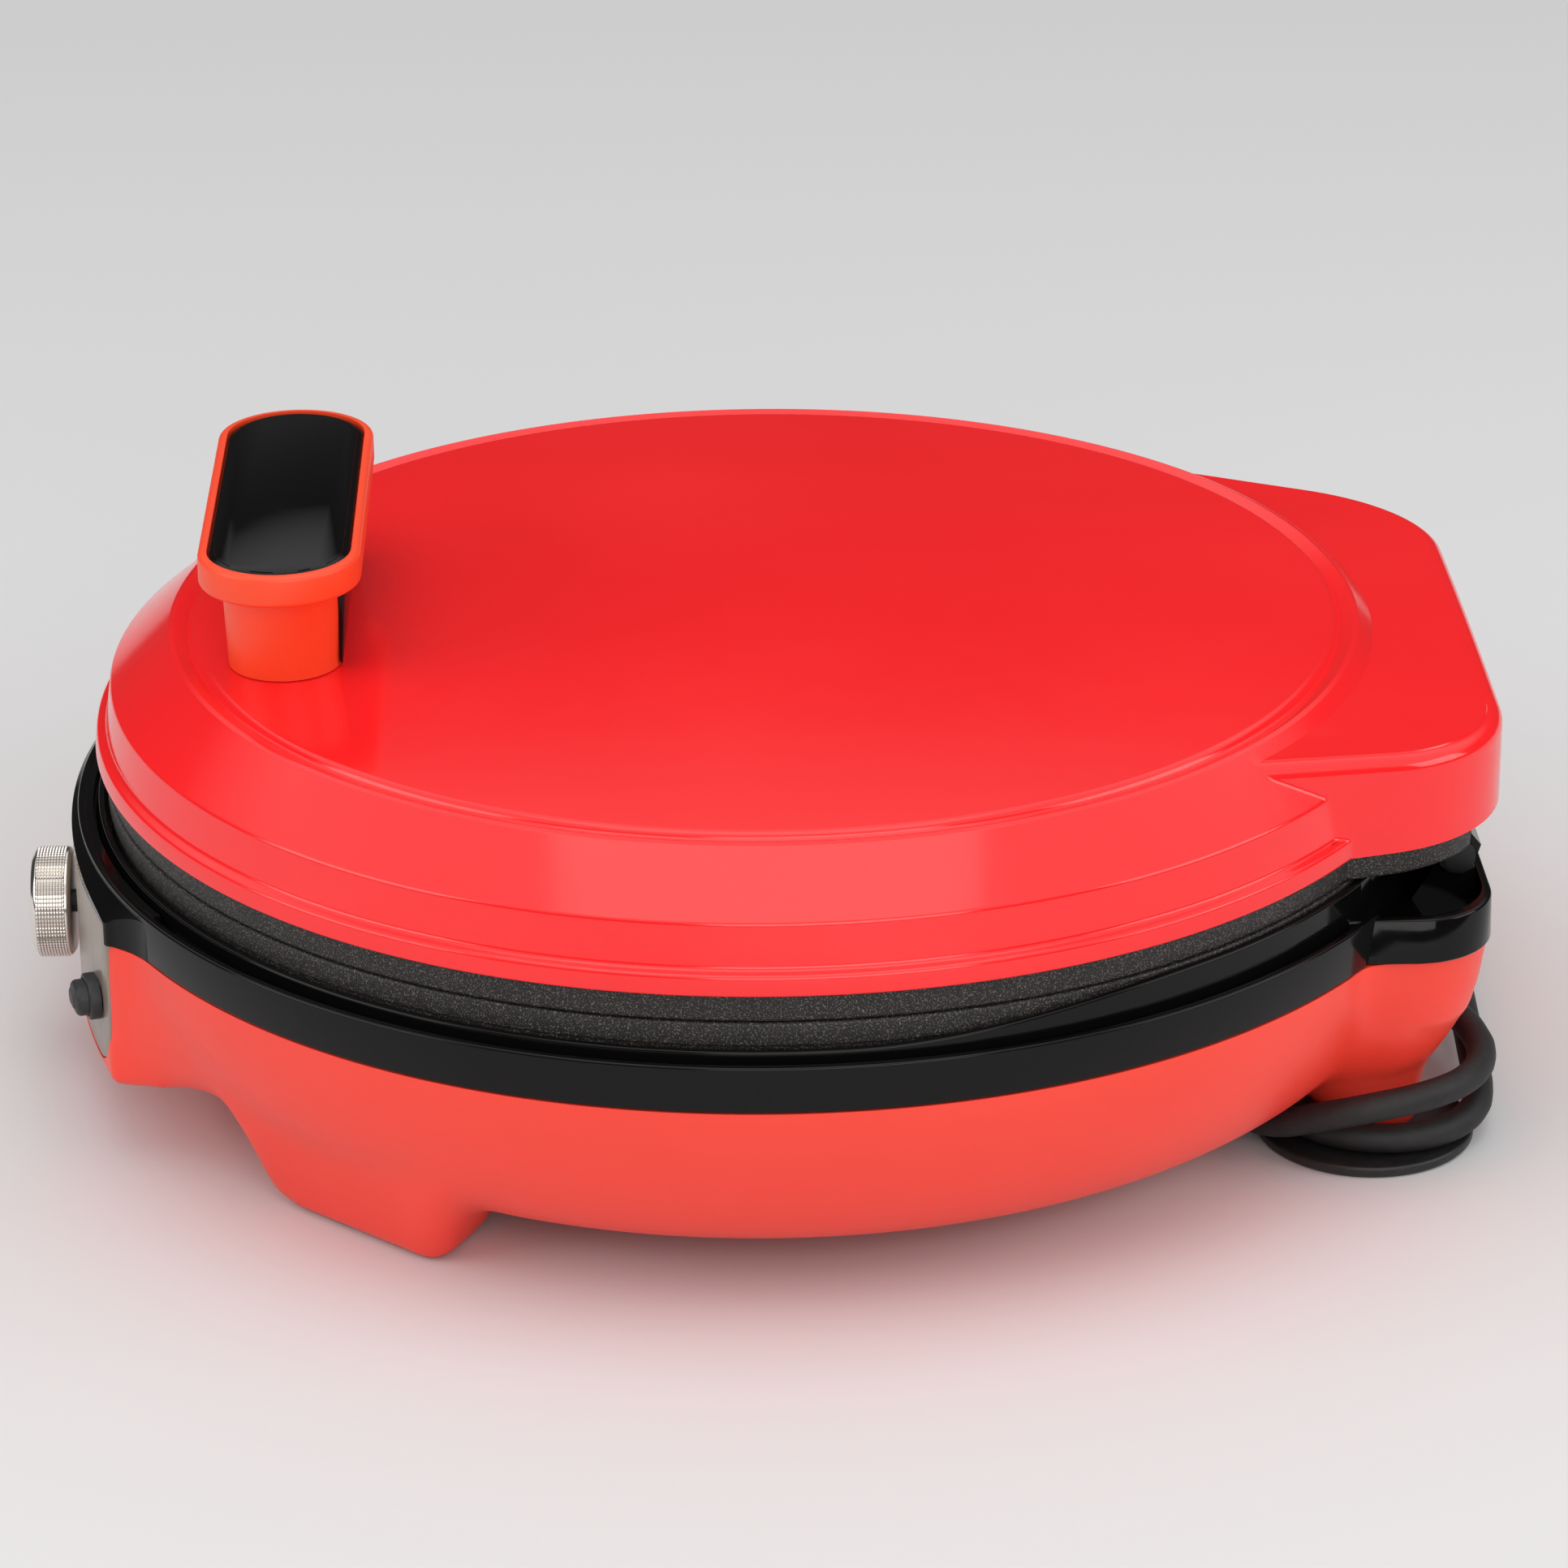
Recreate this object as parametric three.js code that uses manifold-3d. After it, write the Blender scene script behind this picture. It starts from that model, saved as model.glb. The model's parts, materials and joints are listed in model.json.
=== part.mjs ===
// Electric pizza maker with a hinged lid, millimetres, +Z up.
// The front, with the handle and the control panel, faces -Y. The floor is z = 0.
// All pieces are drawn about the axis of the round plates, and the finished group
// is moved along Y so that the middle of the whole object stands on the origin.
import * as THREE from 'three';
import { mergeVertices } from 'three/addons/utils/BufferGeometryUtils.js';
import Module from 'manifold-3d';

const wasm = await Module();
wasm.setup();

// Counts of facets
const roundSteps = 60;
const insideSteps = 30;
const smallSteps = 16;
const cornerSteps = 4;
const knobSteps = 22;

// Clearances that are used all over
const gap = 0.3;
const overrun = 1.5;
const wall = 2.5;
const screwRadius = 1.7;
const screwHeadRadius = 3.4;
const screwHeadHeight = 1.8;

// Bowl of the base: a flat bottom with an elliptical corner up to the rim
const bowl = { radius: 178, bottomZ: 11.5, topZ: 60, cornerWidth: 38 };

// How far in from the bowl's rim the other things stand, and how far some reach past it
const inset = {
  plate: 8, cook: 25.5, lip: 5.4, wallLow: 8.4, wallTop: 9.9, flange: 26.2, footOuter: 18, footInner: 36, pad: 28,
  post: 27.6, shoulderFront: 60, boxBack: 50, housingFront: 82, hinge: 7, handle: 57, boss: 37, reflector: 46,
  heater: 66, clamp: 74, stud: 98, terminals: 82, outlet: 10,
};
const outset = { shoulder: 0.4, box: 1.3, housing: 5 };

// Feet: two flared front feet with pads, two rear posts with round flanges
const frontFoot = {
  angle: 43, topHalfAngle: 14, lowHalfAngle: 9.5, topZ: 46, lowZ: 0.8,
  outerRadius: bowl.radius - inset.footOuter, innerRadius: bowl.radius - inset.footInner,
};
const pad = { radius: 6.5, height: 2.4, seat: bowl.radius - inset.pad };
const post = { x: 72.5, y: bowl.radius - inset.post, radius: 14, flangeRadius: 27.4, flangeHeight: 3, bevel: 0.6 };

// Rear shoulder of the base and of the trim ring, its bulges round the posts, and the box at the front
const shoulder = {
  halfWidth: 102, rearY: bowl.radius + outset.shoulder, corner: 22, frontY: bowl.radius - inset.shoulderFront,
  bottomZ: 23, round: 18, draft: 1.8, bulgeHalfWidth: 29.5, bulgeRound: 15.5, bulgeZ: 14, bulgeTopZ: 56,
};
const box = {
  halfWidth: 79, frontY: bowl.radius + outset.box, bulgeRadius: 224, corner: 2.5, backY: bowl.radius - inset.boxBack,
  bottomZ: 21.2, round: 3.5,
};

// Trim ring between bowl and plates
const ring = {
  height: 11.6, edge: 0.8, shelf: 1.8, troughDrop: 3.9, troughWidth: 1.2, lipWidth: 1, lipBevel: 0.8,
  ledgeWidth: 10.8, ledgeHeight: 2, rimWidth: 4.5, frontLipDrop: 0.4, rearLipDrop: 0.3,
  liftStart: 85, liftEnd: 54, visorSlope: 1.39, shoulderRim: 2,
};

// Plates: a round cooking face in each, with a flat rim that meets the other's
const plate = {
  radius: bowl.radius - inset.plate, cookRadius: bowl.radius - inset.cook, rimBelow: 5.9, rimAbove: 7.2,
  slope: 3, recess: 4.5, web: 4, edge: 0.9, bore: 0.8, skirt: 3, skirtInset: 0.5, overRing: 1.9, step: 5,
};

// Lid shell: plateau, groove, sloping flange, upright wall and lip
const lid = {
  lipRadius: bowl.radius - inset.lip, wallTopRadius: bowl.radius - inset.wallTop,
  wallLowRadius: bowl.radius - inset.wallLow, flangeRadius: bowl.radius - inset.flange, lipHeight: 4.1,
  wallHeight: 11.2, flangeDrop: 14.3, grooveInset: 5.6, grooveWidth: 3.6, grooveDepth: 1.7, discEdge: 4.2,
  ridgeDrop: 0.7, ridgeWidth: 3.4, edge: 0.9,
};
const grooveRadius = lid.flangeRadius - lid.grooveInset;

// Rear housing on the lid: its sides draw in towards a wide corner, its top falls to the rear
const housing = {
  halfWidth: 97.8, rearY: bowl.radius + outset.housing, corner: 42.9, taper: 15.6, drop: 0.9, fall: 5.2,
  frontY: bowl.radius - inset.housingFront, edgeDrop: 5.5, crownInset: 30, earInset: 3.3, earReach: 2.8,
  bandHalfWidth: 54, bandDepth: 0.8, bandDrop: 12.4,
};

// Hinge: its axis runs along X
const hinge = {
  y: bowl.radius - inset.hinge, z: 77.5, pinRadius: 2.5, eyeRadius: 5.5, postRadius: 6,
  sideInset: 45.8, width: 20, sheet: 2.5, reachFront: 30, rearReach: 2.8, pinHead: 1.5, pinHeadRadius: 4,
  pinEnd: 1.6, footLength: 17, eyeEnd: 318,
};
const hingeX = housing.halfWidth - hinge.sideInset;

// Handle: a rounded bar on a slightly tapered stem
const handle = {
  y: inset.handle - bowl.radius, length: 125, width: 40.5, capHeight: 8.3, rise: 33, rim: 2.3, recess: 2.6,
  stemLength: 102, stemWidth: 30.4, taper: 2, cover: 1.5, coverSeat: 1, edge: 1.2, insertEdge: 0.7, screwX: 28,
};

// Control panel, knob and button
const panel = { sideMargin: 1.5, thickness: 3, corner: 12, lowMargin: 3.6, rise: 5.2 };
const panelHalfWidth = box.halfWidth - panel.sideMargin;
const knob = {
  x: 8, drop: 19, radius: 14.3, length: 10.6, lift: 1, edge: 1.6, groove: 0.5, grooves: 4, band: 1.6, skirt: 1.7,
  shaftRadius: 3, socket: 7,
};
const button = {
  fromEdge: 11.5, width: 11.2, height: 8.6, corner: 3.9, round: 0.8, reach: 7.3, travel: 2, bezelWidth: 13.2,
  bezelHeight: 10.6, bezelCorner: 4.9, bezelReach: 3.2, stemRadius: 2.6, stemLength: 8.2,
};
const buttonX = panelHalfWidth - button.fromEdge;

// Electrical parts inside
const heater = { radius: 3.3, loop: bowl.radius - inset.heater, tail: 11, openAngle: 9, steps: 40, sides: 6 };
const reflector = { radius: bowl.radius - inset.reflector, thickness: 1, lip: 5, standoff: 9 };
const stud = { radius: 4.5, seat: bowl.radius - inset.stud, count: 3, turn: 30 };
const bridge = { width: 16, thickness: 1.6, reach: bowl.radius - inset.clamp };
const thermostat = { width: 30, depth: 20, height: 24 };
const switchBody = { width: 13, depth: 15, height: 16 };
const terminals = { width: 38, depth: 16, height: 13, y: inset.terminals - bowl.radius, ways: 3 };
const cutout = { radius: 8, height: 7, x: 40, y: 46 };
const vent = { count: 5, pitch: 11, length: 46, width: 3.2, x: 78 };

// Mains lead: it comes out of a boss under the rear shoulder, is wound twice
// round the two rear posts and ends in a three-pin plug on the far side
const cord = { diameter: 7.5, sides: 8, stepsPerDiameter: 0.66 };
const relief = { length: 24, rootRadius: 6.4, tipRadius: 4.6, collar: 3, ribs: 4 };
const outlet = { x: -34, y: bowl.radius - inset.outlet, z: 16, depth: 14, width: 18, below: 7.5 };
const plug = {
  x: -128, y: 152, z: 11.3, nose: 12, noseRadius: 6.2, length: 46, width: 50, height: 22, corner: 11, edge: 2,
  pinGap: 22.2, pinRow: 22.2, pinLength: 17.7, earthLength: 22.7, pinWidth: 6.4, pinThickness: 4,
  earthWidth: 8, rowFromNose: 14,
};
const cordRoute = [
  [-10, 168, 16], [-2, 168, 16], [10, 168.9, 16], [22, 171.6, 16.2], [34, 175.2, 16.8], [48, 178.8, 18],
  [58, 180, 18.8], [66, 180.2, 19.3], [77.9, 177.8, 19.9], [88.1, 171.1, 20.2], [94.8, 160.9, 20],
  [97.2, 149, 18.6], [94.8, 137.1, 15.2], [88.1, 126.9, 10.4], [77.9, 120.2, 7.2], [66, 117.8, 5.4],
  [52, 117.4, 4.5], [34, 117.3, 4.2], [12, 117.3, 4.2], [-12, 117.3, 4.2], [-34, 117.3, 4.2],
  [-53, 117.4, 4.6], [-69, 117.8, 5.6], [-81.7, 120.3, 7.6], [-92.4, 127.5, 11.8], [-99.6, 138.2, 15.6],
  [-102.1, 150.9, 16.4], [-99.6, 163.6, 15.8], [-92.4, 174.3, 14.6], [-81.7, 181.5, 13.2],
  [-69, 184, 12.1], [-54, 184, 11.4], [-34, 183.7, 11], [-12, 183.3, 10.4], [10, 182.7, 9.8],
  [30, 181.8, 9.4], [50, 180.8, 9.2], [66, 180, 9], [75.8, 178, 8.2], [84.2, 172.5, 7.5],
  [89.7, 164.1, 7.2], [91.7, 154.3, 7.2], [89.7, 144.5, 7.2], [84.2, 136.1, 7.2], [75.8, 130.6, 7.2],
  [66, 128.6, 7.2], [53, 128.6, 6.8], [38, 128.8, 5.5], [18, 129.2, 4.4], [-6, 129.6, 4.3],
  [-28, 129.8, 4.9], [-46, 129.8, 6.6], [-57, 129.8, 7.2], [-66.7, 130, 7.2], [-73.4, 130.6, 7.2],
  [-80.4, 132.8, 7.2], [-86.3, 136, 7.1], [-94, 141.2, 7.1], [-101.4, 146.2, 7.1], [-106.6, 149.1, 7.9],
  [-113.3, 151.3, 9.6], [-120.4, 152, 11.1], [-128, 152, 11.3],
];

// Heights that follow from the sizes above
const ringZ = bowl.topZ + gap;
const ringTop = ringZ + ring.height;
const ledgeTop = ringZ + ring.edge + ring.ledgeHeight + ring.edge;
const lowRimZ = ringTop + plate.overRing;
const seamZ = lowRimZ + plate.rimBelow;
const upRimZ = seamZ + gap;
const upRimTop = upRimZ + plate.rimAbove;
const lidZ = upRimTop + gap;
const lipTop = lidZ + lid.lipHeight + lid.edge;
const wallTop = lipTop + lid.wallHeight;
const lidTop = wallTop + lid.flangeDrop;
const lowFloor = seamZ - plate.recess;
const lowBack = lowFloor - plate.web;
const upFloor = upRimZ + plate.recess;
const upBack = upFloor + plate.web;
const housingTop = lidTop - housing.drop;
const knobZ = bowl.topZ - knob.drop;
const cornerHeight = bowl.topZ - bowl.bottomZ;

// Finishes
function finish(name, color, roughness, metalness) {
  return new THREE.MeshStandardMaterial({ name, color, roughness, metalness });
}
const glossRed = finish('lid_gloss_red', 0xd8121f, 0.18, 0);
const satinRed = finish('base_satin_red', 0xd6261c, 0.4, 0);
const handleRed = finish('handle_satin_orange_red', 0xe8401c, 0.45, 0);
const glossBlack = finish('gloss_black', 0x0b0b0c, 0.15, 0);
const coatedAluminium = finish('nonstick_coating', 0x2a2a2b, 0.6, 0.3);
const panelGrey = finish('panel_warm_grey', 0x8d8279, 0.32, 0.2);
const chrome = finish('chrome', 0xe6e2df, 0.1, 1);
const rubber = finish('black_rubber', 0x1c1c1d, 0.75, 0);
const steel = finish('zinc_steel', 0xa9adb0, 0.35, 1);
const sheetSteel = finish('aluminised_sheet', 0xbfc3c4, 0.3, 1);
const heaterSteel = finish('heater_sheath', 0x6d6a66, 0.5, 0.9);
const ceramic = finish('white_ceramic', 0xe9e5da, 0.7, 0);
const brass = finish('brass', 0xc9a552, 0.3, 1);

// Solids from three.js geometry, with shared corners and faces pointing out
function solidOf(geometry) {
  const bare = geometry.index ? geometry.toNonIndexed() : geometry.clone();
  for (const name of Object.keys(bare.attributes)) {
    if (name !== 'position') bare.deleteAttribute(name);
  }
  const merged = mergeVertices(bare);
  const places = merged.attributes.position;
  const corners = merged.index.array;
  const faces = [];
  const [a, b, c] = [new THREE.Vector3(), new THREE.Vector3(), new THREE.Vector3()];
  let volume = 0;
  for (let i = 0; i < corners.length; i += 3) {
    const [p, q, r] = [corners[i], corners[i + 1], corners[i + 2]];
    if (p === q || q === r || r === p) continue;
    faces.push(p, q, r);
    a.fromBufferAttribute(places, p);
    b.fromBufferAttribute(places, q);
    c.fromBufferAttribute(places, r);
    volume += a.dot(b.cross(c));
  }
  if (volume < 0) faces.reverse();
  return new wasm.Manifold(new wasm.Mesh({
    numProp: 3, vertProperties: new Float32Array(places.array), triVerts: new Uint32Array(faces),
  }));
}

function geometryOf(solid) {
  const mesh = solid.getMesh();
  const geometry = new THREE.BufferGeometry();
  geometry.setAttribute('position', new THREE.BufferAttribute(mesh.vertProperties, 3));
  geometry.setIndex(new THREE.BufferAttribute(mesh.triVerts, 1));
  geometry.computeVertexNormals();
  return geometry;
}

const joined = (...solids) => solids.reduce((sum, solid) => sum.add(solid));
const cut = (solid, ...tools) => tools.reduce((rest, tool) => rest.subtract(tool), solid);

// Revolved solid about Z from [radius, height] points that close on the axis or on themselves
function revolved(profile, steps = roundSteps) {
  const points = profile.map(([r, z]) => new THREE.Vector2(r, z));
  return solidOf(new THREE.LatheGeometry(points, steps).rotateX(Math.PI / 2));
}

function cylinder(radius, lowZ, highZ, x = 0, y = 0, steps = smallSteps) {
  const shape = new THREE.CylinderGeometry(radius, radius, highZ - lowZ, steps).rotateX(Math.PI / 2);
  return solidOf(shape.translate(x, y, (lowZ + highZ) / 2));
}

function block(x0, x1, y0, y1, z0, z1) {
  const shape = new THREE.BoxGeometry(x1 - x0, y1 - y0, z1 - z0);
  return solidOf(shape.translate((x0 + x1) / 2, (y0 + y1) / 2, (z0 + z1) / 2));
}

// Solid between rings of as many points each, closed by a flat or domed end at both ends
function lofted(rings) {
  const count = rings[0].length;
  const places = rings.flat().flatMap((point) => [point.x, point.y, point.z]);
  const faces = [];
  for (let k = 0; k + 1 < rings.length; k += 1) {
    for (let i = 0; i < count; i += 1) {
      const [p, q] = [k * count + i, k * count + ((i + 1) % count)];
      faces.push(p, q, q + count, p, q + count, p + count);
    }
  }
  const last = (rings.length - 1) * count;
  const flat = (points) => points.map((point) => new THREE.Vector2(point.x, point.y));
  for (const [i, j, k] of THREE.ShapeUtils.triangulateShape(flat(rings[0]), [])) faces.push(j, i, k);
  for (const [i, j, k] of THREE.ShapeUtils.triangulateShape(flat(rings.at(-1)), [])) {
    faces.push(last + i, last + j, last + k);
  }
  const geometry = new THREE.BufferGeometry();
  geometry.setAttribute('position', new THREE.Float32BufferAttribute(places, 3));
  geometry.setIndex(faces);
  return solidOf(geometry);
}

// Closed profile of [radius, height] points, which may change on the way, swept about Z
function swept(profileAt, startAngle, endAngle, steps) {
  const whole = Math.abs(endAngle - startAngle - 2 * Math.PI) < 1e-9;
  const rows = [];
  for (let k = 0; k < (whole ? steps : steps + 1); k += 1) {
    const share = k / steps;
    const angle = startAngle + (endAngle - startAngle) * share;
    rows.push(profileAt(angle, share).map(([r, z, turn = 0]) => [
      r * Math.cos(angle + turn), r * Math.sin(angle + turn), z,
    ]));
  }
  const count = rows[0].length;
  const faces = [];
  const bands = whole ? rows.length : rows.length - 1;
  for (let k = 0; k < bands; k += 1) {
    for (let i = 0; i < count; i += 1) {
      const [p, q] = [k * count + i, k * count + ((i + 1) % count)];
      const next = ((k + 1) % rows.length) * count - k * count;
      faces.push(p, q, q + next, p, q + next, p + next);
    }
  }
  if (!whole) {
    const last = (rows.length - 1) * count;
    const outline = profileAt(startAngle, 0).map(([r, z]) => new THREE.Vector2(r, z));
    for (const [i, j, k] of THREE.ShapeUtils.triangulateShape(outline, [])) {
      faces.push(j, i, k, last + i, last + j, last + k);
    }
  }
  const geometry = new THREE.BufferGeometry();
  geometry.setAttribute('position', new THREE.Float32BufferAttribute(rows.flat(2), 3));
  geometry.setIndex(faces);
  return solidOf(geometry);
}

// Arc points about a centre, angles in degrees
function arc(cx, cy, radius, from, to, steps = cornerSteps) {
  return Array.from({ length: steps + 1 }, (_, i) => {
    const angle = THREE.MathUtils.degToRad(from + ((to - from) * i) / steps);
    return [cx + radius * Math.cos(angle), cy + radius * Math.sin(angle)];
  });
}

const atHeight = (outline, z) => outline.map(([x, y]) => new THREE.Vector3(x, y, z));

// Plan outlines, drawn in by an inset
function shoulderOutline(size, by) {
  const [x, y] = [size.halfWidth - by, size.rearY - by];
  const r = Math.max(size.corner - by, gap);
  return [
    [x, size.frontY], ...arc(x - r, y - r, r, 0, 90), ...arc(r - x, y - r, r, 90, 180), [-x, size.frontY],
  ];
}

function housingOutline(by, frontY = housing.frontY) {
  const r = housing.corner - by;
  const [x, y] = [housing.halfWidth - housing.corner, housing.rearY - housing.corner];
  const taper = THREE.MathUtils.degToRad(housing.taper);
  const front = x + r * Math.cos(taper) + Math.tan(taper) * (y + r * Math.sin(taper) - frontY);
  const steps = cornerSteps + 1;
  return [
    [front, frontY], ...arc(x, y, r, housing.taper, 90, steps), ...arc(-x, y, r, 90, 180 - housing.taper, steps),
    [-front, frontY],
  ];
}

// Ring of the housing whose height falls off towards the rear
const housingRing = (by, z) => housingOutline(by).map(([x, y]) => new THREE.Vector3(
  x, y, z - (housing.fall * (y - housing.frontY)) / (housing.rearY - housing.frontY),
));

const panelY = (x) => x * x / (2 * box.bulgeRadius) - box.frontY;

function boxOutline(by) {
  const r = Math.max(box.corner - by, gap);
  const x = box.halfWidth - by - r;
  const y = panelY(x) + by + r;
  const steps = 2 * cornerSteps;
  const front = Array.from({ length: steps - 1 }, (_, i) => {
    const along = -x + (2 * x * (i + 1)) / steps;
    return [along, panelY(along) + by];
  });
  return [
    [-x - r, -box.backY], ...arc(-x, y, r, 180, 270), ...front, ...arc(x, y, r, 270, 360), [x + r, -box.backY],
  ];
}

function stadium(length, width, steps = 2 * cornerSteps) {
  const r = width / 2;
  const x = length / 2 - width / 2;
  return [...arc(x, 0, r, -90, 90, steps), ...arc(-x, 0, r, 90, 270, steps)];
}

function roundedRectangle(width, height, corner, steps = cornerSteps) {
  const [x, y] = [width / 2 - corner, height / 2 - corner];
  return [
    ...arc(x, -y, corner, -90, 0, steps), ...arc(x, y, corner, 0, 90, steps),
    ...arc(-x, y, corner, 90, 180, steps), ...arc(-x, -y, corner, 180, 270, steps),
  ];
}

const shapeOf = (outline) => new THREE.Shape(outline.map(([x, y]) => new THREE.Vector2(x, y)));
const extruded = (outline, depth) => new THREE.ExtrudeGeometry(shapeOf(outline), { depth, bevelEnabled: false });

// The scene graph
const maker = new THREE.Group();
maker.name = 'pizza_maker';

function piece(name, solid, material, place = maker) {
  const mesh = new THREE.Mesh(geometryOf(solid), material);
  mesh.name = name;
  place.add(mesh);
  return mesh;
}

// A screw that points along +Z from under its head, or along -Z when turned over
function screw(x, y, headZ, length, up = true) {
  const way = up ? 1 : -1;
  const ends = (from, to) => [Math.min(from, to), Math.max(from, to)];
  return joined(
    cylinder(screwHeadRadius, ...ends(headZ - way * screwHeadHeight, headZ), x, y, 2 * cornerSteps),
    cylinder(screwRadius, ...ends(headZ - way * screwHeadHeight / 2, headZ + way * length), x, y, 2 * cornerSteps),
  );
}

// Base shell

// How the shoulder of the base rounds in towards its bottom: [height share, inset share]
const shoulderRoundShares = [[1, 0], [0.68, 0.1], [0.49, 0.2], [0.34, 0.4], [0.19, 0.59], [0.06, 0.78], [0, 1]];

function bowlProfile(by, top, arcSteps) {
  const points = [[0, bowl.bottomZ + by]];
  for (let i = 0; i <= arcSteps; i += 1) {
    const t = (Math.PI / 2) * (1 - i / arcSteps);
    points.push([
      bowl.radius - bowl.cornerWidth + (bowl.cornerWidth - by) * Math.cos(t),
      bowl.topZ - (cornerHeight - by) * Math.sin(t),
    ]);
  }
  if (top > bowl.topZ) points.push([bowl.radius - by, top]);
  points.push([0, top]);
  return points;
}

function shoulderBody(by, top) {
  const size = { ...shoulder, halfWidth: shoulder.halfWidth - gap, rearY: shoulder.rearY - gap };
  const low = shoulder.bottomZ + by;
  const rings = shoulderRoundShares.map(([height, share]) => atHeight(
    shoulderOutline(size, by + share * shoulder.round), low + height * (bowl.topZ - low),
  ));
  if (top > bowl.topZ) rings.unshift(atHeight(shoulderOutline(size, by), top));
  return lofted(rings.reverse());
}

// How a bulge of the shoulder draws in to its post: [height share, inset share]
const bulgeShares = [
  [0, 1], [0.14, 0.89], [0.25, 0.74], [0.38, 0.5], [0.55, 0.23], [0.73, 0.077], [1, 0],
];

function postBulge(side) {
  const low = shoulder.bulgeZ;
  const depth = shoulder.rearY - gap - shoulder.frontY;
  const rings = bulgeShares.map(([height, share]) => {
    const by = share * shoulder.bulgeRound;
    const corner = THREE.MathUtils.lerp(shoulder.corner, post.radius - 2 * gap, share);
    const half = shoulder.bulgeHalfWidth - gap - by;
    const outline = roundedRectangle(2 * half, depth - 2 * by, corner, cornerSteps - 1);
    return atHeight(outline.map(([x, y]) => [
      x + side * post.x, y + shoulder.frontY + depth / 2,
    ]), low + height * (shoulder.bulgeTopZ - low));
  });
  return lofted(rings);
}

// How the bottom edge of the box is rounded: [height share, inset share] of its radius
const boxRoundShares = [[0, 1], [0.1, 0.55], [0.35, 0.2], [1, 0]];

function boxBody(by, top) {
  const low = box.bottomZ + by;
  const rings = boxRoundShares.map(([height, share]) => atHeight(
    boxOutline(by + share * box.round), low + height * box.round,
  ));
  rings.push(atHeight(boxOutline(by), top));
  return lofted(rings);
}

function frontFootBody(side) {
  const middle = THREE.MathUtils.degToRad(-90 + side * (90 - frontFoot.angle));
  const half = THREE.MathUtils.degToRad(frontFoot.topHalfAngle);
  const lowHalf = THREE.MathUtils.degToRad(frontFoot.lowHalfAngle);
  const span = frontFoot.topZ - frontFoot.lowZ;
  const topRadius = bowl.radius - wall + (wall - gap) / 2;
  const narrowing = (z) => (half - lowHalf) * (1 - (z - frontFoot.lowZ) / span);
  const inside = bowl.bottomZ + wall / 2;
  const corners = [
    [frontFoot.innerRadius, frontFoot.lowZ], [frontFoot.outerRadius - frontFoot.lowZ * 2, frontFoot.lowZ],
    [frontFoot.outerRadius, frontFoot.lowZ * 3], [topRadius, frontFoot.topZ],
    [frontFoot.innerRadius, inside],
  ];
  const profileAt = (angle, share) => corners.map(([r, z]) => [r, z, (1 - 2 * share) * narrowing(z)]);
  return swept(profileAt, middle - half, middle + half, cornerSteps);
}

const footPlace = (side, seat) => {
  const angle = THREE.MathUtils.degToRad(-90 + side * (90 - frontFoot.angle));
  return [seat * Math.cos(angle), seat * Math.sin(angle)];
};

function panelHoles(clear) {
  const reach = 2 * panel.thickness + 2 * wall;
  const bore = knob.shaftRadius + clear;
  const knobHole = new THREE.CylinderGeometry(bore, bore, 2 * reach, smallSteps);
  const slot = extruded(roundedRectangle(button.width + clear, button.height + clear, button.corner), 2 * reach);
  slot.translate(0, 0, -reach).rotateX(Math.PI / 2).rotateZ(buttonTurn);
  return [
    solidOf(knobHole.translate(knob.x, panelY(knob.x), knobZ)),
    solidOf(slot.translate(buttonX, panelY(buttonX), knobZ)),
  ];
}

const buttonTurn = Math.atan(buttonX / box.bulgeRadius);

function panelPocket(clear, high) {
  const width = 2 * (panelHalfWidth + clear);
  const low = box.bottomZ + panel.lowMargin - clear;
  const corner = panel.corner + clear;
  const outline = [
    ...arc(width / 2 - corner, low + corner, corner, -90, 0), [width / 2, high],
    [-width / 2, high], ...arc(corner - width / 2, low + corner, corner, 180, 270),
  ];
  const slab = extruded(outline, box.frontY - box.backY + overrun).rotateX(Math.PI / 2);
  return solidOf(slab.translate(0, -box.backY, 0));
}

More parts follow.
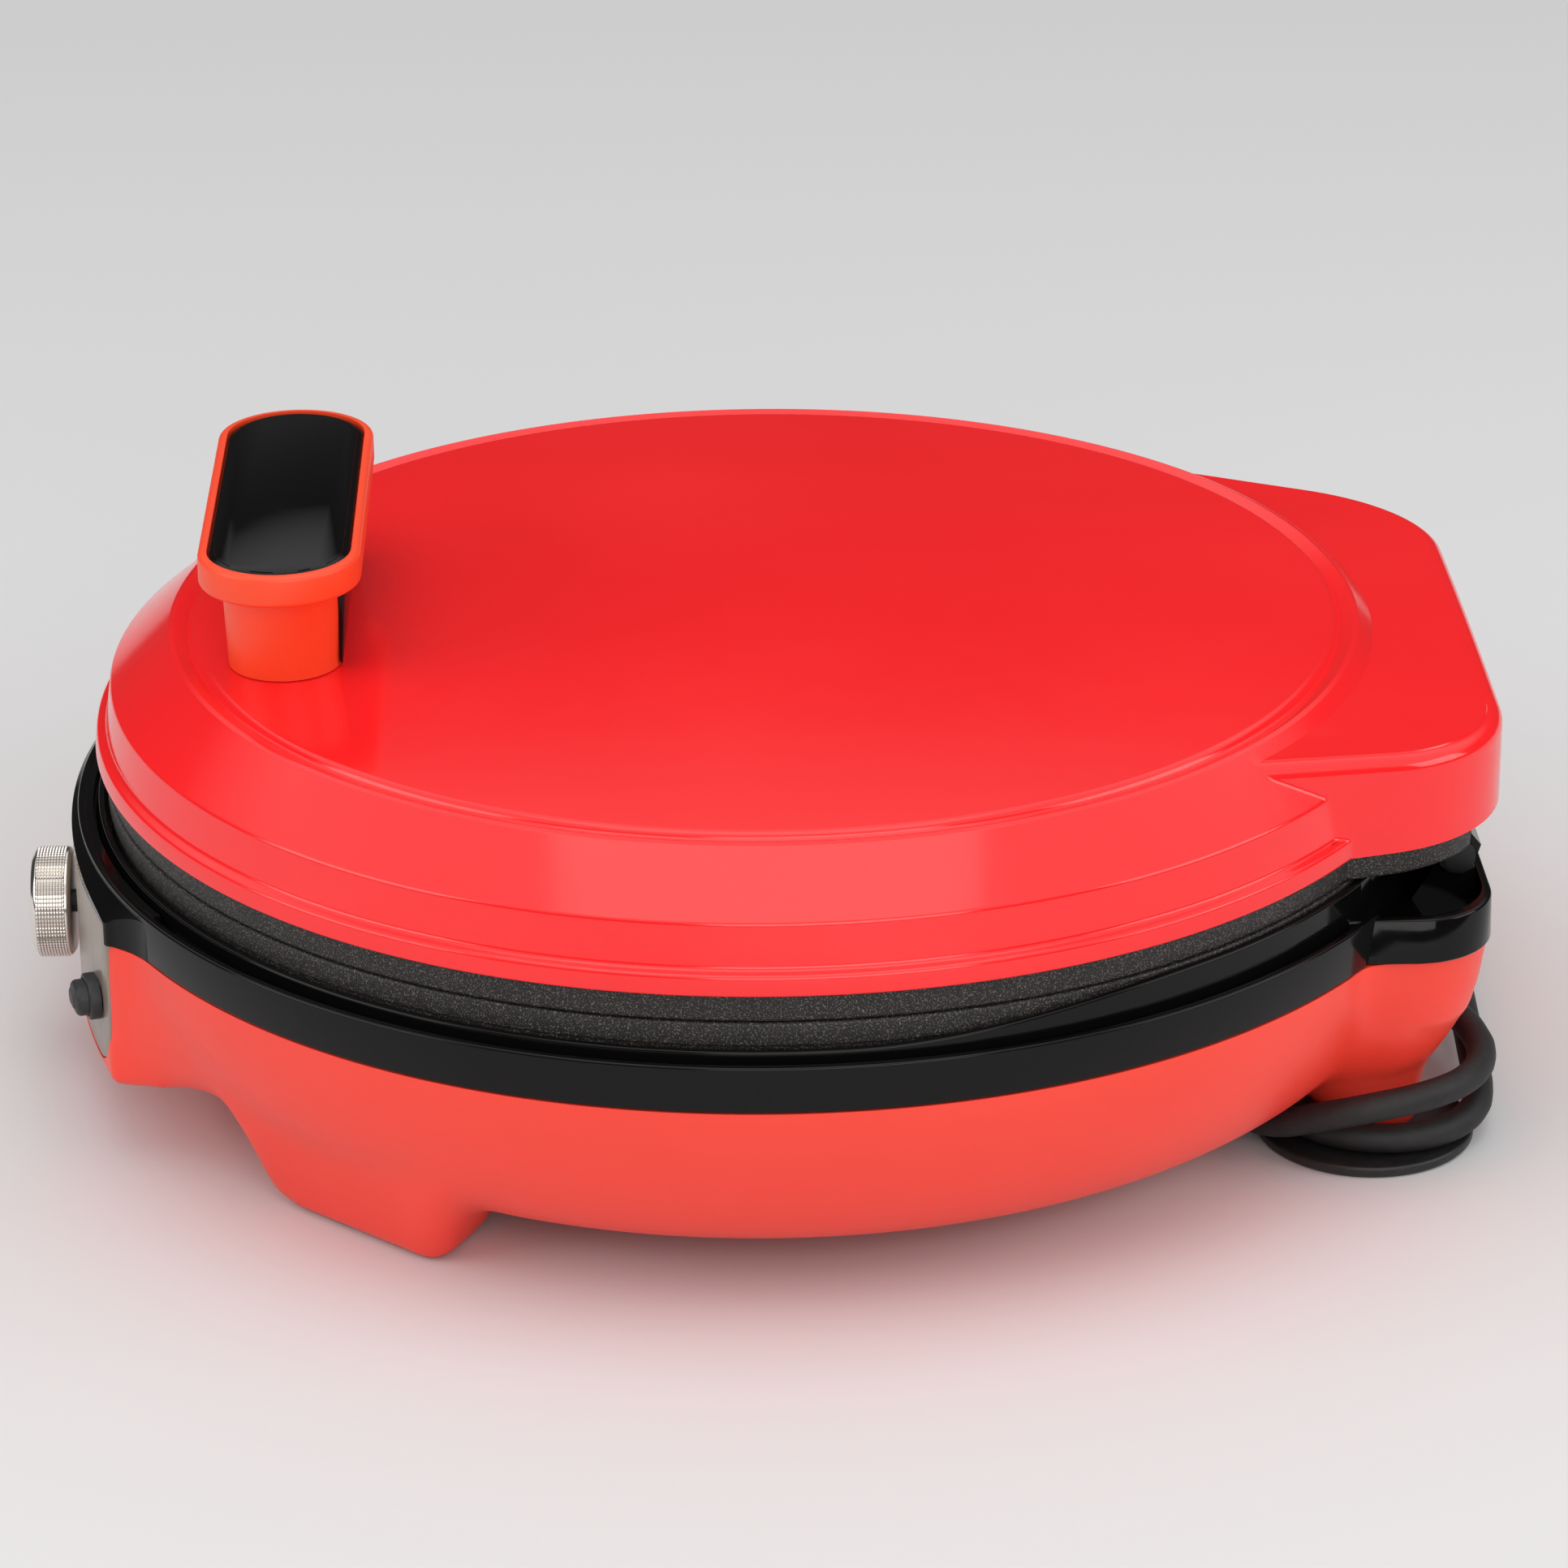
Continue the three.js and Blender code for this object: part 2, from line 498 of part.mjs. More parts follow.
function baseShell() {
  const top = bowl.topZ + overrun;
  const posts = [1, -1].map((side) => cylinder(
    post.radius, post.flangeHeight + gap, shoulder.bottomZ + shoulder.round / 2, side * post.x, post.y, 2 * smallSteps,
  ));
  const boss = block(
    outlet.x - outlet.depth, outlet.x, outlet.y - outlet.width / 2, outlet.y + outlet.width / 2,
    outlet.z - outlet.below, shoulder.bottomZ + wall,
  );
  const outer = joined(
    revolved(bowlProfile(0, bowl.topZ, cornerSteps + 2)), shoulderBody(0, bowl.topZ), boxBody(0, bowl.topZ),
    frontFootBody(1), frontFootBody(-1), ...posts, boss, postBulge(1), postBulge(-1),
  );
  const hollow = joined(
    revolved(bowlProfile(wall, top, cornerSteps), insideSteps), shoulderBody(wall, top),
    cut(boxBody(wall, top), panelSkin(wall + panel.thickness, overrun)),
  );
  const pocket = cut(panelPocket(gap, top), frontPrism(panel.thickness + gap, bowl.bottomZ, top + overrun));
  const slots = Array.from({ length: vent.count }, (_, i) => (i - (vent.count - 1) / 2) * vent.pitch)
    .flatMap((y) => [1, -1].map((side) => block(
      side * vent.x - vent.length / 2, side * vent.x + vent.length / 2, y - vent.width / 2, y + vent.width / 2,
      bowl.bottomZ - overrun, bowl.bottomZ + wall + overrun,
    )));
  const padSeats = [1, -1].map((side) => cylinder(
    pad.radius + gap, -overrun, pad.height + gap, ...footPlace(side, pad.seat),
  ));
  const screwHoles = [1, -1].map((side) => cylinder(
    screwRadius + gap, 0, shoulder.bottomZ, side * post.x, post.y, 2 * cornerSteps,
  ));
  const cordHole = new THREE.CylinderGeometry(
    cord.diameter / 2 + gap, cord.diameter / 2 + gap, 2 * outlet.depth / 3, smallSteps,
  ).rotateZ(Math.PI / 2).translate(outlet.x, outlet.y, outlet.z);
  return cut(outer, hollow, pocket, ...panelHoles(2 * gap), ...slots, ...padSeats, ...screwHoles, solidOf(cordHole));
}

// Prism of all that lies behind the front's curve, set back by a depth
function frontPrism(depth, low, high) {
  const half = box.halfWidth + wall;
  const front = Array.from({ length: 2 * cornerSteps + 1 }, (_, i) => {
    const x = (i / cornerSteps - 1) * half;
    return [x, panelY(x) + depth];
  });
  const outline = [...front, [half, -box.backY], [-half, -box.backY]];
  return lofted([atHeight(outline, low), atHeight(outline, high)]);
}

// Prism of the box's plan outline
function boxPrism(by, low, high) {
  return lofted([atHeight(boxOutline(by), low), atHeight(boxOutline(by), high)]);
}

// What lies in front of the box's inner face, kept as the wall behind the panel
function panelSkin(depth, margin) {
  const low = box.bottomZ - margin;
  const high = bowl.topZ + 3 * margin;
  const slab = block(
    -panelHalfWidth - gap - wall, panelHalfWidth + gap + wall, -box.frontY - margin, -box.backY - margin, low, high,
  );
  return cut(slab, frontPrism(depth, low - margin, high + margin));
}

piece('base_shell', baseShell(), satinRed);

for (const [side, name] of [[1, 'right'], [-1, 'left']]) {
  const [x, y] = footPlace(side, pad.seat);
  piece(`front_foot_pad_${name}`, cylinder(pad.radius, 0, pad.height, x, y), rubber);
  const flange = [
    [0, 0], [post.flangeRadius - post.bevel, 0], [post.flangeRadius, post.bevel],
    [post.flangeRadius, post.flangeHeight - post.bevel], [post.flangeRadius - post.bevel, post.flangeHeight],
    [0, post.flangeHeight],
  ];
  const recess = cylinder(screwHeadRadius + gap, -overrun, post.flangeHeight / 2, 0, 0);
  const bore = cylinder(screwRadius + gap, -overrun, post.flangeHeight + overrun, 0, 0, 2 * cornerSteps);
  const disc = cut(revolved(flange, 2 * smallSteps), recess, bore).translate([side * post.x, post.y, 0]);
  piece(`cord_flange_${name}`, disc, rubber);
  const headZ = post.flangeHeight / 2 - gap;
  const shank = cut(
    screw(side * post.x, post.y, headZ, shoulder.bottomZ / 2),
    block(-bowl.radius, bowl.radius, -bowl.radius, bowl.radius, -bowl.bottomZ, gap),
  );
  piece(`cord_flange_screw_${name}`, shank, steel);
}

// Trim ring

function lipZ(angle) {
  const fromRear = Math.abs(THREE.MathUtils.radToDeg(Math.atan2(Math.cos(angle), Math.sin(angle))));
  const share = THREE.MathUtils.smoothstep(-fromRear, -ring.liftStart, -ring.liftEnd);
  return THREE.MathUtils.lerp(lowRimZ - ring.frontLipDrop, seamZ - ring.rearLipDrop, share);
}

function ringProfile(angle) {
  const bore = plate.radius + plate.bore;
  const lip = lipZ(angle);
  const trough = ringTop - ring.troughDrop;
  const shelf = bowl.radius - ring.edge - ring.shelf;
  const troughOuter = bore + ring.lipWidth + ring.lipBevel + ring.troughWidth;
  return [
    [bowl.radius, ringZ], [bowl.radius, ringTop - ring.edge], [bowl.radius - ring.edge, ringTop], [shelf, ringTop],
    [(shelf + troughOuter) / 2, (trough + 2 * ringTop) / 3], [troughOuter, trough],
    [bore + ring.lipWidth + ring.lipBevel, trough], [bore + ring.lipWidth + ring.lipBevel, lip - ring.lipBevel],
    [bore + ring.lipWidth, lip], [bore, lip], [bore, ledgeTop], [bore - ring.ledgeWidth, ledgeTop],
    [bore - ring.ledgeWidth, ledgeTop - ring.ledgeHeight], [bowl.radius - ring.rimWidth, ledgeTop - ring.ledgeHeight],
    [bowl.radius - ring.rimWidth, ringZ],
  ];
}

const shoulderTop = { ...shoulder, halfWidth: shoulder.halfWidth - shoulder.draft };

function ringShoulder() {
  const rings = [
    atHeight(shoulderOutline(shoulder, 0), ringZ), atHeight(shoulderOutline(shoulderTop, 0), ringTop - ring.edge),
    atHeight(shoulderOutline(shoulderTop, ring.edge), ringTop),
  ];
  const trough = [ledgeTop, ringTop + overrun].map((z) => atHeight(shoulderOutline(shoulderTop, ring.shoulderRim), z));
  const inner = plate.radius + plate.bore + ring.lipWidth;
  return cut(lofted(rings), lofted(trough), cylinder(inner, 0, lidTop, 0, 0, roundSteps));
}

// The part of the ring that is cleared inside the shoulder's rim
function shoulderClearing() {
  const inner = plate.radius + plate.bore + ring.lipWidth + ring.lipBevel;
  const room = lofted([ledgeTop, ringTop + overrun].map((z) => atHeight(
    shoulderOutline({ ...shoulderTop, frontY: shoulder.rearY - shoulder.corner - ring.rimWidth }, ring.shoulderRim), z,
  )));
  return cut(room, cylinder(inner, 0, lidTop, 0, 0, roundSteps));
}

function visor() {
  const prism = boxPrism(0, ringZ, ringTop);
  const shelf = bowl.radius - ring.edge - ring.shelf;
  const spread = ring.height * ring.visorSlope;
  const cone = revolved([[0, ringZ], [shelf + spread, ringZ], [shelf, ringTop], [0, ringTop]]);
  return cut(prism.intersect(cone), cylinder(bowl.radius - ring.rimWidth, 0, lidTop, 0, 0, roundSteps));
}

function trimRing() {
  const round = swept(ringProfile, 0, 2 * Math.PI, roundSteps);
  const body = joined(cut(round, shoulderClearing()), ringShoulder(), visor());
  const high = bowl.topZ + panel.rise + gap;
  return cut(body, cut(panelPocket(gap, high), frontPrism(panel.thickness + gap, bowl.bottomZ, high + overrun)));
}
piece('trim_ring', trimRing(), glossBlack);

// Cooking plates

const cookEdge = plate.cookRadius + plate.slope;

function lowerPlate() {
  const skirt = plate.radius - plate.skirtInset;
  return revolved([
    [0, lowFloor], [plate.cookRadius, lowFloor], [cookEdge, seamZ], [plate.radius - plate.edge, seamZ],
    [plate.radius, seamZ - plate.edge], [plate.radius, lowRimZ], [skirt, lowRimZ], [skirt, ledgeTop + gap],
    [skirt - plate.skirt, ledgeTop + gap], [skirt - plate.skirt, lowBack], [0, lowBack],
  ]);
}

const studPlaces = Array.from({ length: stud.count }, (_, i) => {
  const angle = THREE.MathUtils.degToRad(stud.turn + (360 * i) / stud.count);
  return [stud.seat * Math.cos(angle), stud.seat * Math.sin(angle)];
});
const lowStudEnd = lowBack - reflector.standoff;
const upStudEnd = upBack + reflector.standoff;

const lowStuds = studPlaces.map(([x, y]) => cylinder(stud.radius, lowStudEnd, lowBack + gap, x, y));
const lowStudHoles = studPlaces.map(([x, y]) => cylinder(
  screwRadius + gap, lowStudEnd - overrun, lowBack - gap, x, y, 2 * cornerSteps,
));
piece('lower_plate', cut(joined(lowerPlate(), ...lowStuds), ...lowStudHoles), coatedAluminium);

function upperPlate() {
  const top = plate.radius - plate.step;
  const disc = revolved([
    [0, upFloor], [plate.cookRadius, upFloor], [cookEdge, upRimZ], [plate.radius - plate.edge, upRimZ],
    [plate.radius, upRimZ + plate.edge], [plate.radius, upRimTop], [top, upRimTop], [top, upBack], [0, upBack],
  ]);
  const wing = lofted([
    [housing.earInset + plate.edge, upRimZ], [housing.earInset, upRimZ + plate.edge], [housing.earInset, upRimTop],
  ].map(([by, z]) => atHeight(housingOutline(by, shoulder.frontY), z)));
  const behind = block(-bowl.radius, bowl.radius, hinge.y + housing.earReach, 2 * bowl.radius, 0, lidTop);
  const ears = cut(wing, behind, cylinder(plate.radius - plate.edge, 0, lidTop, 0, 0, roundSteps));
  const notches = [1, -1].map((side) => {
    const from = side * (hingeX - hinge.sheet - 2 * gap - overrun);
    const to = side * (hingeX + hinge.width + hinge.sheet + 2 * gap + overrun);
    return block(
      Math.min(from, to), Math.max(from, to), hinge.y - hinge.postRadius - 2 * hinge.pinRadius, bowl.radius,
      0, lidTop,
    );
  });
  const rear = cut(ears, ...notches);
  const studs = studPlaces.map(([x, y]) => cylinder(stud.radius, upBack - gap, upStudEnd, x, y));
  const holes = studPlaces.map(([x, y]) => cylinder(
    screwRadius + gap, upBack + gap, upStudEnd + overrun, x, y, 2 * cornerSteps,
  ));
  return cut(joined(disc, rear, ...studs), ...holes);
}
piece('upper_plate', upperPlate(), coatedAluminium);

// Heating elements: an open loop with two tails that point to the rim

function heaterPath(z, towards) {
  const open = THREE.MathUtils.degToRad(heater.openAngle);
  const points = [];
  const middle = towards * Math.PI / 2;
  const place = (radius, angle) => new THREE.Vector3(radius * Math.cos(angle), radius * Math.sin(angle), z);
  points.push(place(heater.loop + heater.tail, middle + open / 2));
  const turns = heater.steps / 2;
  for (let i = 0; i <= turns; i += 1) {
    points.push(place(heater.loop, middle + open + ((2 * Math.PI - 2 * open) * i) / turns));
  }
  points.push(place(heater.loop + heater.tail, middle - open / 2));
  return new THREE.CatmullRomCurve3(points, false, 'centripetal');
}

function tube(path, radius, sides, steps) {
  const section = Array.from({ length: sides }, (_, i) => {
    const angle = (2 * Math.PI * i) / sides;
    return new THREE.Vector2(radius * Math.cos(angle), radius * Math.sin(angle));
  });
  return new THREE.ExtrudeGeometry(new THREE.Shape(section), { steps, extrudePath: path, bevelEnabled: false });
}

const lowHeaterZ = lowBack - gap - heater.radius;
const upHeaterZ = upBack + gap + heater.radius;
const heaterSolid = (z, towards) => solidOf(tube(heaterPath(z, towards), heater.radius, heater.sides, heater.steps));
piece('lower_heater', heaterSolid(lowHeaterZ, -1), heaterSteel);
piece('upper_heater', heaterSolid(upHeaterZ, 1), heaterSteel);

// Sheet dishes that turn the heat back, held on the studs of the plates

function dish(seatZ, way) {
  const flat = seatZ - way * reflector.thickness;
  const lip = seatZ + way * reflector.lip;
  const inner = reflector.radius - reflector.thickness;
  const profile = [
    [0, seatZ], [inner - reflector.lip, seatZ], [inner, lip], [reflector.radius, lip],
    [reflector.radius - reflector.lip, flat], [0, flat],
  ];
  const holes = studPlaces.map(([x, y]) => cylinder(
    screwRadius + gap, seatZ - reflector.lip, seatZ + reflector.lip, x, y, 2 * cornerSteps,
  ));
  return cut(revolved(profile, 2 * smallSteps), ...holes);
}
const lowSeat = lowStudEnd - gap;
const upSeat = upStudEnd + gap;
piece('lower_reflector', dish(lowSeat, 1), sheetSteel);
piece('upper_reflector', dish(upSeat, -1), sheetSteel);
studPlaces.forEach(([x, y], i) => {
  const lowHead = lowSeat - reflector.thickness - gap;
  const upHead = upSeat + reflector.thickness + gap;
  piece(`lower_plate_screw_${i + 1}`, screw(x, y, lowHead, reflector.standoff / 2), steel);
  piece(`upper_plate_screw_${i + 1}`, screw(x, y, upHead, reflector.standoff / 2, false), steel);
});

// Clamp bars that press the loops on the plates, over the loop's closed side
function clampBar(heaterZ, way, towards) {
  const near = heaterZ + way * (heater.radius + gap);
  const far = near + way * bridge.thickness;
  const y0 = towards * (bridge.reach - bridge.width);
  const y1 = towards * (heater.loop + bridge.width / 2);
  const bar = block(
    -bridge.width / 2, bridge.width / 2, Math.min(y0, y1), Math.max(y0, y1), Math.min(near, far), Math.max(near, far),
  );
  const footY = towards * (bridge.reach - bridge.width / 2);
  const plateFace = heaterZ - way * (heater.radius);
  const ends = [plateFace, near + way * gap];
  const foot = cylinder(bridge.width / 4, Math.min(...ends), Math.max(...ends), 0, footY);
  return joined(bar, foot);
}
piece('lower_heater_clamp', clampBar(lowHeaterZ, -1, 1), steel);
piece('upper_heater_clamp', clampBar(upHeaterZ, 1, -1), steel);

// Thermal cut-out pressed on the back of the lower plate
piece('thermal_cutout', joined(
  cylinder(cutout.radius, lowBack - gap - cutout.height / 2, lowBack - gap, -cutout.x, cutout.y),
  cylinder(cutout.radius * 0.7, lowBack - gap - cutout.height, lowBack - gap - cutout.height / 3, -cutout.x, cutout.y),
), ceramic);

// Lid shell

function lidShell() {
  const flangeZ = lidTop - lid.ridgeDrop;
  const outer = revolved([
    [0, lidTop], [lid.flangeRadius, lidTop], [lid.flangeRadius, flangeZ],
    [(lid.flangeRadius + lid.wallTopRadius) / 2, (flangeZ + wallTop) / 2 + lid.edge],
    [lid.wallTopRadius - lid.edge, wallTop + lid.edge], [lid.wallTopRadius, wallTop],
    [lid.wallLowRadius, lipTop], [lid.wallLowRadius + lid.edge, lipTop - lid.edge / 2],
    [lid.lipRadius - lid.edge / 2, lipTop - lid.edge / 2], [lid.lipRadius, lipTop - lid.edge], [lid.lipRadius, lidZ],
    [0, lidZ],
  ]);
  const deep = housingTop - housing.edgeDrop;
  const crown = housingCrownShares.map(([by, drop]) => housingRing(
    by * housing.crownInset, housingTop - drop * housing.edgeDrop,
  ));
  const rear = lofted([atHeight(housingOutline(0), lidZ), housingRing(0, deep), ...crown]);
  const band = block(
    -housing.bandHalfWidth, housing.bandHalfWidth, housing.rearY - wall / 2, housing.rearY + housing.bandDepth,
    lidZ, lidTop - housing.bandDrop,
  );
  const grooveIn = grooveRadius - lid.grooveWidth / 2;
  const grooveOut = grooveRadius + lid.grooveWidth / 2;
  const groove = revolved([
    [grooveIn - lid.discEdge, lidTop + overrun], [grooveIn - lid.discEdge, lidTop], [grooveIn, lidTop - lid.ridgeDrop],
    [grooveRadius - lid.grooveWidth / 6, lidTop - lid.grooveDepth],
    [grooveRadius + lid.grooveWidth / 6, lidTop - lid.grooveDepth], [grooveOut, lidTop - lid.ridgeDrop],
    [grooveOut + lid.ridgeWidth, lidTop - lid.ridgeDrop], [grooveOut + lid.ridgeWidth, lidTop + overrun],
    [grooveIn - lid.discEdge, lidTop + overrun],
  ]);
  const low = lidZ - overrun;
  const hollow = revolved([
    [0, lidTop - wall], [grooveRadius - 2 * lid.grooveWidth, lidTop - wall],
    [lid.flangeRadius - wall, lidTop - wall - lid.grooveDepth],
    [lid.wallTopRadius - wall, wallTop - wall / 2], [lid.wallLowRadius - wall, lipTop - wall],
    [lid.lipRadius - wall, lipTop - wall - lid.edge], [lid.lipRadius - wall, low], [0, low],
  ], insideSteps);
  const room = lofted([
    atHeight(housingOutline(wall), low), housingRing(wall, deep - wall), housingRing(2 * wall, deep - gap),
  ]);
  const bosses = lidBossPlaces.map(([x, y]) => cylinder(lidBoss.radius, upBack + gap, lidTop - wall / 2, x, y));
  const wells = handleScrewPlaces.map(([x, y]) => cylinder(
    screwRadius + gap, lidTop - 2 * wall, lidTop + overrun, x, y, 2 * cornerSteps,
  ));
  const body = cut(joined(outer, rear, band), groove, hollow, room);
  return cut(joined(body, ...bosses), ...wells);
}

// How the top of the rear housing falls off to its edge: [inset share, drop share]
const housingCrownShares = [[0.01, 0.73], [0.045, 0.4], [0.133, 0.17], [0.47, 0.06], [1, 0]];

// Bosses that stand on the back of the upper plate
const lidBoss = { radius: 4, seat: bowl.radius - inset.boss };
const lidBossPlaces = [50, 130, 230, 310].map((degrees) => {
  const angle = THREE.MathUtils.degToRad(degrees);
  return [lidBoss.seat * Math.cos(angle), lidBoss.seat * Math.sin(angle)];
});
const handleScrewPlaces = [[handle.screwX, handle.y], [-handle.screwX, handle.y]];
piece('lid_shell', lidShell(), glossRed);

// Handle

function handleGrip() {
  const top = lidTop + handle.rise;
  const capZ = top - handle.capHeight;
  const moved = (outline, z) => outline.map(([x, y]) => new THREE.Vector3(x, y + handle.y, z));
  const cap = lofted([
    [handle.edge, capZ], [0, capZ + handle.edge], [0, top - handle.edge / 2], [handle.edge / 2, top],
  ].map(([by, z]) => moved(stadium(handle.length - 2 * by, handle.width - 2 * by), z)));
  const lengthAt = (share) => handle.stemLength - handle.taper * 2 * (1 - share);
  const widthAt = (share) => handle.stemWidth - handle.taper * (1 - share);
  const stem = lofted([
    moved(stadium(lengthAt(0), widthAt(0)), lidTop + gap), moved(stadium(lengthAt(1), widthAt(1)), capZ + handle.edge),
  ]);
  const back = block(
    -handle.length, handle.length, handle.y + handle.stemWidth / 2 - handle.coverSeat, handle.y + handle.width,
    lidTop, capZ,
  );
  const recess = lofted([top - handle.recess, top + overrun].map(
    (z) => moved(stadium(handle.length - 2 * handle.rim, handle.width - 2 * handle.rim), z),
  ));
  const holes = handleScrewPlaces.map(([x, y]) => cylinder(
    screwRadius + gap, lidTop, lidTop + handle.rise / 2, x, y, 2 * cornerSteps,
  ));
  return cut(joined(cap, cut(stem, back)), recess, ...holes);
}
piece('handle_grip', handleGrip(), handleRed);

function handleInsert() {
  const top = lidTop + handle.rise;
  const shrink = 2 * (handle.rim + gap);
  const rings = [[0, top - handle.recess + gap], [0, top - handle.insertEdge], [handle.insertEdge, top]];
  return lofted(rings.map(([by, z]) => stadium(
    handle.length - shrink - 2 * by, handle.width - shrink - 2 * by,
  ).map(([x, y]) => new THREE.Vector3(x, y + handle.y, z))));
}
piece('handle_insert', handleInsert(), glossBlack);

function handleCover() {
  const capZ = lidTop + handle.rise - handle.capHeight;
  const front = handle.y + handle.stemWidth / 2 - handle.coverSeat + gap;
  const half = handle.stemLength / 2 - handle.stemWidth / 3;
  const shape = extruded(roundedRectangle(2 * half, capZ - lidTop - 2 * gap, handle.cover), handle.cover);
  return solidOf(shape.rotateX(Math.PI / 2).translate(0, front + handle.cover, (capZ + lidTop) / 2));
}
piece('handle_rear_cover', handleCover(), glossBlack);
handleScrewPlaces.forEach(([x, y], i) => {
  const under = lidTop - wall - gap;
  piece(`handle_screw_${i + 1}`, screw(x, y, under, wall + handle.rise / 3), steel);
});

// Hinge: posts on the ring, pins in them, and sheet brackets on the upper plate

function alongX(geometry, x0) {
  return solidOf(geometry.rotateX(Math.PI / 2).rotateZ(Math.PI / 2).translate(x0, 0, 0));
}

// Outline in the plane of Y and Z, pushed along X
function sideExtruded(outline, x0, x1) {
  return alongX(extruded(outline, x1 - x0), x0);
}

function hingePost(side) {
  const x0 = side > 0 ? hingeX : -hingeX - hinge.width;
  const foot = ledgeTop + gap;
  const rear = shoulder.rearY - ring.shoulderRim - 2 * gap;
  const rise = ringTop + gap - foot;
  const outline = [
    [hinge.y - hinge.footLength + hinge.postRadius, foot], [rear, foot], [rear, foot + rise],
    ...arc(hinge.y, hinge.z, hinge.postRadius, -45, 180), [hinge.y - hinge.postRadius, foot + rise],
  ];
  const bore = new THREE.CylinderGeometry(
    hinge.pinRadius + gap, hinge.pinRadius + gap, hinge.width + 2 * overrun, smallSteps,
  ).rotateZ(Math.PI / 2).translate(x0 + hinge.width / 2, hinge.y, hinge.z);
  const ringFace = cylinder(
    plate.radius + plate.bore + ring.lipWidth + ring.lipBevel + gap, 0, lidTop, 0, 0, roundSteps,
  );
  return cut(sideExtruded(outline, x0, x0 + hinge.width), solidOf(bore), ringFace);
}

function hingePin(side) {
  const inner = hingeX - gap - hinge.sheet - hinge.pinEnd;
  const outer = hingeX + hinge.width + gap + hinge.sheet + gap;
  const rod = new THREE.CylinderGeometry(hinge.pinRadius, hinge.pinRadius, outer - inner + gap, smallSteps);
  const head = new THREE.CylinderGeometry(hinge.pinHeadRadius, hinge.pinHeadRadius, hinge.pinHead, smallSteps);
  const middle = (outer + inner + gap) / 2;
  return joined(
    solidOf(rod.rotateZ(Math.PI / 2).translate(side * middle, hinge.y, hinge.z)),
    solidOf(head.rotateZ(Math.PI / 2).translate(side * (outer + hinge.pinHead / 2), hinge.y, hinge.z)),
  );
}

function hingeBracket(side) {
  const base = upBack + gap;
  const front = hinge.y - hinge.reachFront;
  const rear = hinge.y + hinge.rearReach;
  const cheek = [
    [hinge.y - hinge.eyeRadius, base + hinge.sheet / 2], [hinge.y - hinge.eyeRadius, hinge.z],
    ...arc(hinge.y, hinge.z, hinge.eyeRadius, 180, hinge.eyeEnd), [rear, hinge.z], [rear, base + hinge.sheet / 2],
  ];
  const bounds = [
    [hingeX - gap - hinge.sheet, hingeX - gap],
    [hingeX + hinge.width + gap, hingeX + hinge.width + gap + hinge.sheet],
  ].map(([from, to]) => (side > 0 ? [from, to] : [-to, -from]));
  const outer = hingeX + hinge.width + gap + hinge.sheet;
  const inner = hingeX - gap - hinge.sheet;
  const flange = block(
    side > 0 ? inner : -outer, side > 0 ? outer : -inner, front, rear, base, base + hinge.sheet,
  );
  const bore = new THREE.CylinderGeometry(
    hinge.pinRadius + gap, hinge.pinRadius + gap, 2 * bowl.radius, smallSteps,
  ).rotateZ(Math.PI / 2).translate(0, hinge.y, hinge.z);
  const cheeks = bounds.map(([from, to]) => sideExtruded(cheek, from, to));
  return cut(joined(flange, ...cheeks), solidOf(bore));
}

for (const [side, name] of [[1, 'right'], [-1, 'left']]) {
  piece(`hinge_post_${name}`, hingePost(side), glossBlack);
  piece(`hinge_pin_${name}`, hingePin(side), steel);
  piece(`hinge_bracket_${name}`, hingeBracket(side), sheetSteel);
}

// Control panel, knob, button and what stands behind them

function controlPanel() {
  const low = box.bottomZ - overrun;
  const high = bowl.topZ + panel.rise + overrun;
  const skin = cut(frontPrism(0, low, high), frontPrism(panel.thickness, low - overrun, high + overrun));
  return cut(panelPocket(0, bowl.topZ + panel.rise).intersect(skin), ...panelHoles(gap));
}
piece('control_panel', controlPanel(), panelGrey);

// Along the knob's own axis, from its rear face at zero to its front
function knobBody() {
  const r = knob.radius;
  const profile = [[0, 0], [r - knob.edge, 0], [r, knob.edge / 2], [r, knob.skirt]];
  const room = knob.length - knob.skirt - knob.band - knob.edge;
  const pitch = room / knob.grooves;
  for (let i = 0; i < knob.grooves; i += 1) {
    const z = knob.skirt + i * pitch;
    profile.push([r, z + pitch * 0.62], [r - knob.groove, z + pitch * 0.81], [r, z + pitch]);
  }
  profile.push([r, knob.length - knob.edge], [r - knob.edge * 0.3, knob.length - knob.edge * 0.3]);
  profile.push([r - knob.edge, knob.length], [0, knob.length]);
  const socket = cylinder(knob.shaftRadius + gap, -overrun, knob.socket + gap, 0, 0);
  return cut(revolved(profile, knobSteps), socket);
}

const knobGroup = new THREE.Group();
knobGroup.position.set(knob.x, panelY(knob.x) - knob.lift, knobZ);
knobGroup.rotation.x = Math.PI / 2;
maker.add(knobGroup);
piece('knob', knobBody(), chrome, knobGroup);
const wallBack = knob.lift + panel.thickness + gap + wall + gap;
const bodyFace = panelY(knob.x) - panelY(knob.x + thermostat.width / 2) - wallBack;
const shaftBack = bodyFace + gap;
piece('thermostat_shaft', cylinder(knob.shaftRadius, shaftBack, knob.socket, 0, 0), brass, knobGroup);
piece('thermostat', solidOf(new THREE.BoxGeometry(thermostat.width, thermostat.height, thermostat.depth)
  .translate(0, 0, bodyFace - thermostat.depth / 2)), ceramic, knobGroup);

// The button's own frame: +Z points out of the panel
const buttonTurner = new THREE.Group();
buttonTurner.position.set(buttonX, panelY(buttonX), knobZ);
buttonTurner.rotation.z = buttonTurn;
const buttonGroup = new THREE.Group();
buttonGroup.rotation.x = Math.PI / 2;
buttonTurner.add(buttonGroup);
maker.add(buttonTurner);

const prism = (outline, low, high) => lofted([atHeight(outline, low), atHeight(outline, high)]);

